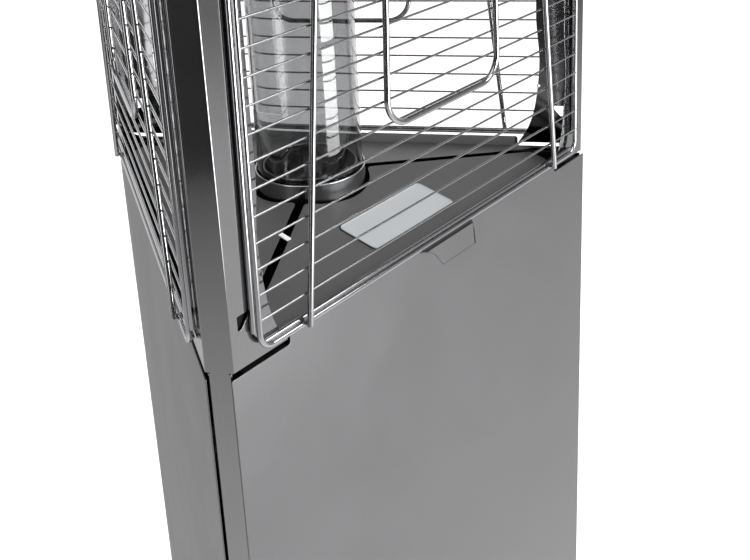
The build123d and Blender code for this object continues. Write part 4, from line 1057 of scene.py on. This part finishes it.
@dataclass
class Cabinet:
    """The lower panels and the door with its folded pull."""

    plan: Plan
    half: float = 283.0
    corner_round: float = 1.0
    upstand_half: float = 216.0
    upstand_top: float = 805.3
    notch_round: float = 3.0
    return_depth: float = 7.4
    return_edge: float = 0.25
    foot_return: float = 12.0
    top_reach: float = 269.0
    foot_reach: float = 260.0
    edge: float = 0.35
    hem_in: float = 0.05
    hem_t: float = 0.3
    hem_drop: float = 0.6
    hem_edge: float = 0.1
    lip_centre: float = 3.0
    lip_root_half: float = 47.5
    lip_tip_half: float = 27.0
    lip_reach: float = 20.0
    lip_knee: float = 13.0
    lip_drop: float = 15.5
    lip_rise: float = 0.6
    lip_bend: float = 8.0
    lip_edge: float = 0.15

    def panel(self) -> Surface:
        """A lower panel: one sheet raised between its notches.

        Returns:
            The panel on the front face.
        """
        plan = self.plan
        wide, narrow, cut = self.half, self.upstand_half, plan.cut_top
        right = [(wide, plan.panel_bottom), (wide, cut), (narrow, cut), (narrow, self.upstand_top)]
        radii = [self.corner_round] * 2 + [self.notch_round] * 2
        corners = right + [(-s, z) for s, z in reversed(right)]
        outline = rounded_line(corners, radii + radii[::-1], steps=5, closed=True)

        def upright(u: np.ndarray, v: np.ndarray, depth: np.ndarray) -> np.ndarray:
            """Maps u = s, v = height and depth to the plane of the front face."""
            return np.stack([u, depth - plan.panel_d, v], axis=-1)

        return sheet(outline, [], plan.skin, self.edge, upright)

    def returns(self) -> Surface:
        """The panel's folded returns, one at each notch and one along the foot, all painted near-black as
        shade.

        Returns:
            The three folds on the front face.
        """
        plan, near = self.plan, self.upstand_half + self.notch_round
        back = plan.panel_d - plan.skin + self.edge
        folds = (
            (-self.top_reach, -near, plan.cut_top - plan.skin, self.return_depth),
            (near, self.top_reach, plan.cut_top - plan.skin, self.return_depth),
            (-self.foot_reach, self.foot_reach, plan.panel_bottom, self.foot_return),
        )
        return joined([
            block((s0, -back, z), (s1, depth - plan.panel_d, z + plan.skin), self.return_edge)
            for s0, s1, z, depth in folds
        ])

    def hem(self) -> Surface:
        """The flattened hem inside the panel's raised top edge.

        Returns:
            The hem on the front face.
        """
        y, half = self.hem_in - self.plan.wing_d, self.upstand_half - self.notch_round
        high = (half, y + self.hem_t, self.upstand_top - self.hem_drop)
        return block((-half, y, self.plan.cut_top), high, self.hem_edge)

    def lip(self) -> Surface:
        """The pull: a curved flap folded out of the top edge, tapering to its tip.

        The section runs from the door's top edge outwards and round an arc down to the tip. At each
        point of it the half-width goes from the root's to the tip's in line with the distance out.

        Returns:
            The flap on the front face.
        """
        plan = self.plan
        top = self.upstand_top - self.lip_rise
        root = (plan.wing_d + plan.skin / 2, top)
        knee = (plan.panel_d + self.lip_knee, top - self.lip_rise)
        tip = (plan.panel_d + self.lip_reach, top - self.lip_drop)
        line = rounded_line([root, knee, tip], [0, self.lip_bend, 0], steps=10)
        section = Section(line, 0.0)
        out = np.clip((line[:, 0] - plan.panel_d) / self.lip_reach, 0, 1)
        half = self.lip_root_half + (self.lip_tip_half - self.lip_root_half) * out
        right = np.stack([section.length, half], axis=-1)
        outline = np.concatenate([right, (right * -MIRROR)[::-1]])

        def laid(u: np.ndarray, v: np.ndarray, depth: np.ndarray) -> np.ndarray:
            """Section distance, offset along the face and depth to points on the front."""
            away, up, along = section.place(u, v, depth - plan.skin).T
            return np.stack([along + self.lip_centre, -away, up], axis=-1)

        return sheet(outline, [], plan.skin, self.lip_edge, laid, strips(section.length[1:-1]))

    def build(self) -> None:
        """Makes the door with its pull, and the two fixed panels."""
        panel, hem, returns = self.panel(), self.hem(), self.returns()
        publish("door_sheet", joined([panel, self.lip()]), PANEL_STEEL, "door", ["front_door"])
        for face in (Face.LEFT, Face.RIGHT):
            node = f"{face.name.lower()}_panel"
            publish(f"{node}_sheet", panel.turned(face.value), PANEL_STEEL, stands_for=[node])
        for face in Face:
            body = "door" if face is Face.FRONT else "tower"
            # the returns wear near-black painted shade
            publish(f"{face.name.lower()}_returns", returns.turned(face.value), SHADE_PAINTED_STEEL, body)
            publish(f"{face.name.lower()}_hem", hem.turned(face.value), HEM_STEEL, body)


@dataclass
class Deck:
    """The three sloping plates with radial slots, the clip and the blank plate."""

    plan: Plan
    slope: float = 0.1968
    top_z: float = 818.3
    top_d: float = 59.4
    out_d: float = 165.0
    corner_s: float = 232.0
    corner_round: float = 15.0
    hole_r: float = 64.0
    slot_near: float = 0.9
    slot_far: float = 8.2
    slot_far_right: float = 14.5
    slot_corner_round: float = 9.0
    mouth_round: float = 7.0
    thickness: float = 0.9
    edge: float = 0.3
    skirt: float = 26.0
    skirt_edge: float = 0.25
    badge: Pair = (129.4, 50.8)
    badge_at: Pair = (5.9, 116.3)
    badge_round: float = 6.0
    badge_rim: float = 1.6
    badge_rise: float = 0.6
    badge_t: float = 1.2
    badge_soft: float = 0.35
    badge_knee: float = 0.1
    badge_dip: float = 0.12
    pad_margin: float = 0.7
    pad_t: float = 0.9
    pad_edge: float = 0.2
    clip_r: float = 130.0
    clip: Triple = (5.4, 13.0, 1.5)
    clip_round: float = 0.6
    clip_lift: float = 0.3
    clip_edge: float = 0.35
    clip_turn: float = 33.0

    def height(self, d: float | np.ndarray) -> float | np.ndarray:
        """The deck's top: it falls by the slope for each millimetre outwards."""
        return self.top_z - self.slope * (d - self.top_d)

    def side(self, offset: float) -> np.ndarray:
        """Half a plate's edge, from the collar's arc out along the slot to the middle of the front.

        The slot edge runs along the corner's line, offset inside it. Its mouth is an arc that
        touches both the collar's circle and the slot edge.

        Args:
            offset: of the slot edge from the corner's line.

        Returns:
            Array of s and d, of shape (n, 2).
        """
        plan, r = self.plan, self.mouth_round
        along = np.array([plan.sin_half, plan.cos_half])
        across = np.array([-plan.cos_half, plan.sin_half])
        gate = math.sqrt((self.hole_r + r) ** 2 - (offset + r) ** 2)
        centre = along * gate + across * (offset + r)
        inward, sideways = (math.atan2(-y, -x) for x, y in (centre, across))
        turn = (inward - sideways + math.pi) % FULL_TURN - math.pi
        mouth = arc(centre, r, inward, inward - turn, count=7)
        reach = (self.corner_s + offset * plan.cos_half) / plan.sin_half
        edge_end = along * reach + across * offset
        corners = [mouth[-1], edge_end, (self.corner_s, self.out_d), (0.0, self.out_d)]
        radii = [0, self.slot_corner_round, self.corner_round, 0]
        return np.concatenate([mouth, rounded_line(corners, radii, steps=8)[1:-1]])

    def plate(self, far: float) -> Surface:
        """One plate: outer edge, rounded corners, slot edges and the arc round the collar.

        Args:
            far: offset of its left slot edge from the corner's line.

        Returns:
            The plate on the front face.
        """
        right, left = self.side(self.slot_near), self.side(far) * MIRROR
        start, end = (math.atan2(*side[0][::-1]) for side in (right, left))
        hole = arc((0, 0), self.hole_r, end, start, count=30)[1:-1]
        outline = np.concatenate([right, left[::-1], hole]) * -MIRROR
        return sheet(outline, [], self.thickness, self.edge, level_place(self.height))

    def clip_bar(self) -> Surface:
        """The bar across the slot at the corner on +X, lying on both plates' edges.

        Its plane holds the two edge points at the clip's radius and the plates' fall outwards. Both
        of its directions are then turned in that plane.

        Returns:
            The bar.
        """
        plan = self.plan
        y = np.array([-self.slot_near, self.slot_far])
        z = self.height(self.clip_r * plan.cos_half + abs(y) * plan.sin_half)
        ends = np.stack([y * 0 + self.clip_r, y, z], axis=-1)
        axes = np.stack([(1.0, 0.0, -self.slope * plan.cos_half), ends[1] - ends[0]])
        axes /= np.linalg.norm(axes, axis=1)[:, None]
        normal = np.cross(*axes)
        c, s = math.cos(math.radians(self.clip_turn)), math.sin(math.radians(self.clip_turn))
        axes = np.vstack([np.array([[c, -s], [s, c]]) @ axes, normal])
        half, thick = np.array(self.clip[:2]) / 2, self.clip[2]
        top = thick + self.clip_lift

        def laid(u: np.ndarray, v: np.ndarray, depth: np.ndarray) -> np.ndarray:
            """Bar measures to points on the slot."""
            return ends.mean(0) + np.stack([u, v, top - depth], axis=-1) @ axes

        outline = rounded_box(-half, half, self.clip_round, steps=3)
        return sheet(outline, [], thick, self.clip_edge, laid)

    def skirt_strip(self) -> Surface:
        """The plate's folded-down outer edge, painted near-black as shade.

        Returns:
            The strip on the front face.
        """
        half = self.corner_s - self.corner_round - self.thickness
        top = self.height(self.out_d) - self.thickness
        high = (half, self.thickness - self.out_d, top)
        return block((-half, -self.out_d, top - self.skirt), high, self.skirt_edge)

    def gasket(self) -> Surface:
        """A near-black pad under the blank plate, a little larger than it: a painted shadow line round the
        plate's edge.

        Returns:
            The pad.
        """
        s, d = self.badge_at
        half = np.array(self.badge) / 2 + self.pad_margin
        radius = self.badge_round + self.pad_margin
        outline = rounded_box(-half, half, radius, steps=8) + (s, -d)
        place = level_place(lambda d: self.height(d) + self.pad_t)
        return sheet(outline, [], self.pad_t, self.pad_edge, place)

    def blank(self) -> Surface:
        """The bare plate: rounded corners and a thin rim round a sunk face.

        Returns:
            The plate on the deck.
        """
        s, d = self.badge_at
        z, tilt = self.height(d), math.atan(self.slope)
        c, sn = math.cos(tilt), math.sin(tilt)
        half = np.array(self.badge) / 2
        outer = rounded_box(-half, half, self.badge_round, steps=8)
        lift, soft, knee = self.badge_t + self.badge_rise, self.badge_soft, self.badge_knee
        axes = np.array([[1, 0, 0], [0, c, sn], [0, -sn, c]])

        def laid(u: np.ndarray, v: np.ndarray, down: np.ndarray) -> np.ndarray:
            """Plate measures to points on the sloping deck."""
            return np.stack([u, v, lift - down], axis=-1) @ axes + (s, -d, z)

        rim_in = self.badge_rim
        levels = [
            (0.0, lift), (0.0, soft), (knee, knee), (soft, 0.0), (rim_in - soft, 0.0),
            (rim_in - knee, self.badge_dip), (rim_in, soft), (rim_in + knee, self.badge_rise),
        ]
        inner = inset(outer, levels[-1][0])
        loop = tuple(range(len(outer)))
        face = Surface(laid(*inner.T, np.full(len(loop), self.badge_rise)), [loop])
        back = Surface(laid(*outer.T, np.full(len(loop), lift)), [loop[::-1]])
        return joined([rim(outer, levels, laid), face, back])

    def build(self) -> None:
        """Makes the plates and the blank plate, and dresses what lies under them."""
        skirt = self.skirt_strip()
        for face in Face:
            node = f"deck_{face.name.lower()}"
            plate = self.plate(self.slot_far_right if face is Face.RIGHT else self.slot_far)
            publish(f"{node}_plate", plate.turned(face.value), DECK_STEEL, stands_for=[node])
            # the skirt wears near-black painted shade
            publish(f"{node}_skirt", skirt.turned(face.value), SHADE_PAINTED_STEEL)
        # painted shadow: a black rim showing round the blank plate
        publish("blank_plate_pad", self.gasket(), SEAL)
        publish("blank_plate_face", self.blank(), SILVER, stands_for=["blank_plate"])
        # the clip's near-white is a painted reflection
        clip = self.clip_bar().turned(Corner.A.value)
        publish("slot_clip_bar", clip, CLIP_PAINTED_GLINT, stands_for=["slot_clip"])
        dress({"deck_frame": HIDDEN_STEEL, "burner_pan": HIDDEN_STEEL})


@dataclass
class FlameTube:
    """The glass tube with its collar, seal and burner cup."""

    plan: Plan
    glass_r: float = 57.0
    glass_wall: float = 3.0
    glass_foot: float = 826.0
    glass_top: float = 2062.0
    glass_flat: float = 0.05
    collar_r: float = 59.7
    collar_top: float = 839.3
    collar_foot: float = 802.0
    collar_edge: float = 0.4
    cup_r: float = 51.0
    cup_top: float = 843.3
    cup_straight: float = 6.0
    cup_step: float = 6.0
    cup_flange_r: float = 68.0
    skin: float = 1.2
    seal_top: float = 836.4
    seal_outer: float = 0.5
    seal_inner: float = 0.4
    seal_lip: Pair = (0.2, 0.3)
    gap: float = 0.4
    bowl_floor: float = 795.0
    bowl_floor_r: float = 37.0
    bowl_floor_t: float = 1.5
    bowl_power: float = 2.2
    bowl_wall: float = 0.52
    pan_top: float = 747.5
    mixer_r: float = 14.3
    ring_margin: float = 0.25
    ring_rise: float = 0.1

    def rolled(self, radius: float, top: float) -> np.ndarray:
        """The half-round top of a wall, from its outside to its inside."""
        half = self.skin / 2
        return arc((radius - half, top - half), half, 0, math.pi, count=7)

    def glass(self) -> Surface:
        """The tube: outer wall, rounded top lip, inner wall, rounded foot.

        Returns:
            The tube.
        """
        lip, middle = self.glass_wall / 2 - self.glass_flat, self.glass_r - self.glass_wall / 2
        top = arc((middle, self.glass_top - lip), lip, 0, math.pi, count=9)
        foot = arc((middle, self.glass_foot + lip), lip, math.pi, FULL_TURN, count=9)
        return spun([*top, *foot, top[0]])

    def collar(self) -> Surface:
        """The polished collar: wall with a rolled rim, and its floor.

        Returns:
            The collar.
        """
        r, z, edge = self.collar_r, self.collar_foot, self.collar_edge
        floor_r, floor_z = self.cup_r + self.gap, z + self.skin
        outside = [(floor_r, z), (r - edge, z), (r, z + edge), *self.rolled(r, self.collar_top)]
        return spun([*outside, (r - self.skin, floor_z), (floor_r, floor_z), (floor_r, z)])

    def seal(self) -> Surface:
        """The black seal with its groove for the glass.

        Returns:
            The seal.
        """
        r0, r1 = self.cup_r + self.gap, self.collar_r - self.skin - self.gap
        g0, g1 = self.glass_r - self.glass_wall - self.gap, self.glass_r + self.gap
        z0, z1, foot = self.collar_foot + self.skin, self.seal_top, self.glass_foot
        (across, down), outer, inner = self.seal_lip, self.seal_outer, self.seal_inner
        profile = [
            (r0, z0), (r1, z0), (r1, z1 - outer), (r1 - down, z1), (g1 + across, z1),
            (g1, z1 - down), (g1, foot), (g0, foot), (g0, z1 - down), (g0 - across, z1),
            (r0 + inner, z1), (r0, z1 - outer), (r0, z0),
        ]
        return spun(profile, sides=120)

    def cup(self) -> Surface:
        """The burner cup: straight wall, rolled lip, and the bowl curving down to its floor.

        For t from 0 to 1 the bowl's height falls in line and its radius goes from the wall's to the
        floor's with t to a power.

        Returns:
            The cup.
        """
        r1, r0 = self.cup_r, self.cup_r - self.skin
        join, floor = self.cup_top - self.cup_straight, self.bowl_floor
        foot, shelf, flange = self.pan_top, self.collar_foot, self.cup_flange_r
        step_r, skin = r1 + self.cup_step, self.skin
        t = np.linspace(0, 1, num=14)
        bowl_r = r0 + (self.bowl_floor_r - r0) * t**self.bowl_power
        bowl = np.stack([bowl_r, join + (floor - join) * t], axis=-1)
        under = (bowl + (self.bowl_wall, -self.skin))[:1:-1]
        profile = [
            (flange, foot), (flange, foot + skin), (r1, foot + skin), (r1, shelf - skin),
            (step_r, shelf - skin), (step_r, shelf), (r1, shelf), *self.rolled(r1, self.cup_top),
            *bowl, (self.mixer_r, floor), (self.mixer_r, floor - self.bowl_floor_t), *under,
            (r0, foot), (flange, foot),
        ]
        return spun(profile)

    def edge_ring(self, radius: float, height: float) -> Surface:
        """A painted highlight: a thin bright ring rolled over the top of a round wall.

        Args:
            radius: of the wall's outside.
            height: of the wall's top.

        Returns:
            The ring.
        """
        half = self.skin / 2 + self.ring_margin
        middle = (radius - self.skin / 2, height - half + self.ring_rise)
        return spun(arc(middle, half, 0, FULL_TURN, count=17))

    def build(self) -> None:
        """Makes the tube and the round pieces at its foot."""
        # bright rings over the rims: painted highlights
        publish("cup_edge_ring", self.edge_ring(self.cup_r, self.cup_top), EDGE_PAINTED_HIGHLIGHT)
        publish("collar_edge_ring", self.edge_ring(self.collar_r, self.collar_top), EDGE_PAINTED_HIGHLIGHT)
        publish("glass_tube_wall", self.glass(), GLASS, stands_for=["glass_tube"], smooth=60)
        publish("collar_wall", self.collar(), COLLAR_STEEL, stands_for=["collar_ring"])
        publish("seal_ring", self.seal(), SEAL, stands_for=["glass_seal"])
        nodes = ["burner_cup", "burner_bowl", "bowl_floor"]
        publish("burner_cup_bowl", self.cup(), DARK_POLISH, stands_for=nodes)
        dress({
            "burner_head": BRASS, "mixer_tube": ZINC, "gas_jet": BRASS, "gas_pipe": COPPER,
            "spark_electrode": CERAMIC, "flame_sensor": CAST_METAL,
        })


@dataclass
class Grille:
    """A wire grille: front loop, back rods, leaning bars, centre bar, wires and hangers."""

    plan: Plan
    rod_r: float = 2.5
    d: float = 181.4
    s: float = 253.1
    lean: float = 0.0134
    lean_z: float = 836.0
    bottom: float = 808.6
    top: float = 2050.4
    corner: float = 14.0
    back_out: float = 4.3
    back_in: float = 3.0
    back_rise: float = 3.5
    mid_r: float = 2.75
    mid_d: float = 186.2
    mid_s: float = 197.3
    mid_lean: float = 0.1083
    mid_foot: float = 806.2
    head_rise: float = 3.5
    centre_r: float = 3.0
    centre_d: float = 186.3
    centre_s: float = 85.5
    centre_z: float = 997.0
    centre_lean: float = 0.0368
    centre_bottom: float = 948.0
    centre_round: float = 27.0
    wire_r: float = 1.1
    wire_d: float = 182.7
    wire_z: float = 836.3
    pitch: float = 22.9
    wires: int = 53
    hang_r: float = 2.0
    hang_s: float = 120.0
    hang_in: float = 12.0
    hang_drop: float = 8.5
    hang_round: float = 3.0

    def side_s(self, z: float) -> float:
        """Half-width of the front loop at a height."""
        return self.s - self.lean * (z - self.lean_z)

    def mid_at(self, z: float) -> float:
        """How far a leaning bar is from the middle at a height."""
        return self.mid_s - self.mid_lean * (z - self.lean_z)

    def centre_at(self, z: float) -> float:
        """How far the centre bar's leg is from the middle at a height."""
        return self.centre_s - self.centre_lean * (z - self.centre_z)

    def flat(self, line: np.ndarray, d: float) -> np.ndarray:
        """A line in s and height, laid at distance d on the front face."""
        return np.insert(line, 1, -d, axis=1)

    def hanger(self, side: int) -> Surface:
        """The hook at the top that carries the grille on one side.

        Args:
            side: 1 on the right, -1 on the left.

        Returns:
            The hook.
        """
        y, z = self.hang_in - self.d, self.top
        corners = [(-self.d, z), (y, z), (y, z - self.hang_drop)]
        line = rounded_line(corners, [0, self.hang_round, 0])
        return tube(np.insert(line, 0, side * self.hang_s, axis=1), self.hang_r, up=(1, 0, 0))

    def surface(self) -> Surface:
        """The whole grille.

        Returns:
            All its bars on the front face.
        """
        b, t, head = self.bottom, self.top, self.top + self.head_rise
        low, high, back_d = b + self.back_rise, t - self.back_rise, self.d - self.back_in
        wide, narrow = self.side_s(b), self.side_s(t)
        corners = [(-wide, b), (wide, b), (narrow, t), (-narrow, t)]
        loop = rounded_line(corners, [self.corner] * 4, steps=12, closed=True)
        parts = [tube(self.flat(loop, self.d), self.rod_r, sides=20, closed=True)]
        for side in (-1, 1):
            ends = (low + self.corner, high - self.corner)
            back = [(side * (self.side_s(z) + self.back_out), -back_d, z) for z in ends]
            mid = [(side * self.mid_at(z), -self.mid_d, z) for z in (self.mid_foot, head)]
            parts += [rod(*back, self.rod_r, sides=16), rod(*mid, self.mid_r, sides=20)]
            parts.append(self.hanger(side))
        end = self.side_s(low) - self.corner / 2
        parts.append(rod((-end, -back_d, low), (end, -back_d, low), self.rod_r, sides=16))
        foot = self.centre_bottom
        half, half_foot = self.centre_at(head), self.centre_at(foot)
        line = [(-half, head), (-half_foot, foot), (half_foot, foot), (half, head)]
        line = rounded_line(line, [0, self.centre_round, self.centre_round, 0], steps=16)
        parts.append(tube(self.flat(line, self.centre_d), self.centre_r, sides=20))
        for z in self.wire_z + np.arange(self.wires) * self.pitch:
            half, y = self.side_s(z) - self.wire_r / 2, -self.wire_d
            parts.append(rod((-half, y, z), (half, y, z), self.wire_r, sides=10))
        return joined(parts)

    def build(self) -> None:
        """Makes the three grilles, each on its own body."""
        whole = self.surface()
        for face in Face:
            node = f"grille_{face.name.lower()}"
            publish(f"{node}_rods", whole.turned(face.value), CHROME_ROD, node, [node], smooth=50)


@dataclass
class Works:
    """Pieces inside the cabinet and at the tower's head that keep their CAD shapes."""

    def build(self) -> None:
        """Dresses each piece in its finish."""
        dress({
            "base_plate": BASE_STEEL, "base_brackets": ZINC, "hinge_leaves": ZINC,
            "door_knuckles": ZINC, "door_magnets": MAGNET_PLASTIC, "panel_blocks": ZINC,
            "control_plate": HIDDEN_STEEL,
            "gas_valve": CAST_METAL, "valve_spindle": ZINC, "control_knob": KNOB_PLASTIC,
            "igniter_body": KNOB_PLASTIC, "igniter_button": BUTTON_PLASTIC, "gas_inlet": BRASS,
            "header": CAP_STEEL, "header_walls": CAP_STEEL, "top_ring": ZINC, "top_seal": SEAL,
            "cap_pillars": POLISHED, "top_cap": CAP_STEEL, "heat_deflector": ZINC,
            "cap_screws": POLISHED,
        })


@dataclass
class Studio:
    """Floor, light and camera. Camera measures were worked out from the photo."""

    eye: Triple = (-0.7510, -0.7465, 1.2909)
    right: Triple = (0.63963, -0.76743, -0.04389)
    up: Triple = (0.26047, 0.16267, 0.95168)
    forward: Triple = (0.72321, 0.62015, -0.30394)
    focal_px: float = 1050.71
    centre_px: Pair = (376.98, 59.57)
    frame_px: tuple[int, int] = (750, 560)
    sensor: float = 36.0
    nearest: float = 0.01
    floor_half: float = 30.0
    floor_paint: tuple[float, ...] = (0.8, 0.8, 0.8, 1)
    floor_glow: Pair = (0.5, 0.25)
    dome_fall: Pair = (6.0, 40.0)
    dome_top: float = 0.12
    dome_light: float = 0.85
    flag_points: int = 25
    flag_arcs: tuple[tuple[Pair, Triple, Triple], ...] = (
        ((100.0, 250.0), (2.5, 0.01, 0.06), (2.51, 2.4, 0.06)),
        ((250.0, 345.0), (2.5, 0.01, 0.78), (2.51, 0.4, 0.34)),
        ((250.0, 345.0), (2.51, 0.4, 0.34), (2.52, 2.4, 0.3)),
        ((135.0, 262.0), (0.5, 0.006, 1.15), (2.5, 0.006, 0.24)),
        ((262.0, 345.0), (0.5, 0.006, 1.25), (2.5, 0.006, 0.8)),
        ((62.0, 135.0), (0.4, 0.006, 0.62), (2.5, 0.006, 0.56)),
        ((171.0, 184.5), (2.46, 0.01, 2.6), (2.47, 2.2, 2.6)),
        ((264.5, 294.0), (2.46, 0.1, 12.0), (2.47, 1.2, 12.0)),
        ((264.5, 294.0), (1.7, 0.008, 3.0), (2.46, 0.1, 12.0)),
    )
    lamps: tuple[tuple[str, Triple, Triple, float, float], ...] = (
        ("top", (-0.8, -0.8, 4.6), (0.0, 0.0, 1.0), 3.4, 60.0),
        ("deck_key", (1.2, -2.2, 2.2), (0.0, 0.0, 0.85), 1.4, 60.0),
    )

    def camera(self) -> None:
        """The photo's camera: its place, its turn, and the shift of a picture cropped low."""
        width, height = self.frame_px
        data = bpy.data.cameras.new("camera")
        data.sensor_width = self.sensor
        data.lens = self.focal_px / width * self.sensor
        data.shift_x = (width / 2 - self.centre_px[0]) / width
        data.shift_y = (self.centre_px[1] - height / 2) / width
        data.clip_start = self.nearest
        axes = Matrix((self.right, self.up, -Vector(self.forward))).transposed().to_4x4()
        camera = linked("camera", data)
        camera.matrix_world = Matrix.Translation(self.eye) @ axes
        bpy.context.scene.camera = camera

    def lamp(self, name: str, at: Triple, aim: Triple, side: float, power: float) -> None:
        """A soft rectangular lamp that faces a point.

        Args:
            name: the lamp's name.
            at: its place.
            aim: the point that it faces.
            side: of its square.
            power: in watts.
        """
        data = bpy.data.lights.new(name, "AREA")
        data.shape = "RECTANGLE"
        data.size, data.size_y = side, side
        data.energy = power
        lamp = linked(name, data)
        lamp.location = at
        lamp.rotation_euler = (Vector(aim) - Vector(at)).to_track_quat("-Z", "Y").to_euler()
        lamp.visible_camera = False

    def world(self) -> None:
        """A studio dome: white at the horizon and dark overhead as seen, and an even soft light."""
        world = bpy.data.worlds.new("studio")
        bpy.context.scene.world = world
        world.use_nodes = True
        tools = NodeTools(world.node_tree)
        split = tools.add("SeparateXYZ", {0: tools.add("TexCoord").outputs["Generated"]})
        ends = tuple(math.sin(math.radians(angle)) for angle in self.dome_fall)
        dome = tools.ranged(split.outputs[2], (1.0, self.dome_top), ends, "SMOOTHSTEP")
        paths = tools.add("LightPath").outputs
        seen = tools.math("MAXIMUM", paths["Is Glossy Ray"], paths["Is Transmission Ray"])
        seen = tools.math("MAXIMUM", seen, paths["Is Camera Ray"])
        level = tools.add("Mix", {0: seen, 2: self.dome_light, 3: dome}, data_type="FLOAT")
        background = tools.add("Background", {"Color": (1, 1, 1, 1), "Strength": level.outputs[0]})
        tools.add("OutputWorld", {0: background.outputs[0]})

    def floor(self) -> None:
        """A pale floor, white to the camera but for the heater's shadow."""
        mesh = bpy.data.meshes.new("floor")
        h = self.floor_half
        mesh.from_pydata([(-h, -h, 0), (h, -h, 0), (h, h, 0), (-h, h, 0)], [], [(0, 1, 2, 3)])
        floor = linked("floor", mesh)
        material, tools = fresh_material("floor_white")
        paths = tools.add("LightPath").outputs
        mirrored = tools.math("MAXIMUM", paths["Is Glossy Ray"], paths["Is Transmission Ray"])
        glows = zip((paths["Is Camera Ray"], mirrored), self.floor_glow)
        strength = tools.math("MAXIMUM", *(tools.math("MULTIPLY", *pair) for pair in glows))
        paint = tools.add("BsdfDiffuse", {"Color": self.floor_paint})
        glow = tools.add("Emission", {"Strength": strength})
        both = tools.add("AddShader", {0: paint.outputs[0], 1: glow.outputs[0]})
        tools.add("OutputMaterial", {0: both.outputs[0]})
        mesh.materials.append(material)

    def flag(self, name: str, ends: Pair, near: Triple, far: Triple) -> None:
        """A card or mat on an arc round the tower, which gives polished metal one of its bands.

        It is a cone patch (r cos a, r sin a, z), with r and z going in line from near to far for a
        in its arc. Its grey goes in line with r as well, and the camera doesn't see it.

        Args:
            name: the flag's name.
            ends: of its arc, in degrees.
            near: radius, height and grey where it starts.
            far: radius, height and grey where it ends.
        """
        a = np.radians(np.linspace(*ends, self.flag_points))[:, None]
        r, z, shade = np.array([near, far]).T
        shape = grid(np.stack([r * np.cos(a), r * np.sin(a), z + 0 * a], axis=-1))
        mesh = bpy.data.meshes.new(name)
        mesh.from_pydata(shape.points.tolist(), [], shape.faces)
        material, tools = fresh_material(name + "_cloth")
        place = tools.add("TexCoord").outputs["Object"]
        flat = tools.add("VectorMath", {0: place, 1: (1, 1, 0)}, operation="MULTIPLY")
        reach = tools.add("VectorMath", {0: flat.outputs[0]}, operation="LENGTH").outputs["Value"]
        cloth = tools.add("Emission", {"Strength": tools.ranged(reach, tuple(shade), tuple(r))})
        tools.add("OutputMaterial", {0: cloth.outputs[0]})
        mesh.materials.append(material)
        flag = linked(name, mesh)
        flag.visible_camera = flag.visible_diffuse = flag.visible_shadow = False

    def build(self) -> None:
        """Sets up camera, floor, world, flags and lamps."""
        self.camera()
        self.world()
        self.floor()
        for i, measures in enumerate(self.flag_arcs):
            self.flag(f"flag_{i}", *measures)
        for measures in self.lamps:
            self.lamp(*measures)
        bpy.context.scene.view_settings.view_transform = "Standard"


def main() -> None:
    """Builds the heater's parts in order, then the studio."""
    logging.basicConfig(level=logging.INFO, format="%(name)s %(message)s")
    plan = Plan()
    parts = [kind(plan) for kind in (Posts, Cabinet, Deck, FlameTube, Grille)]
    for part in (*parts, Works(), Studio()):
        log.info("building %s", type(part).__name__)
        part.build()


if __name__ == "__main__":
    main()
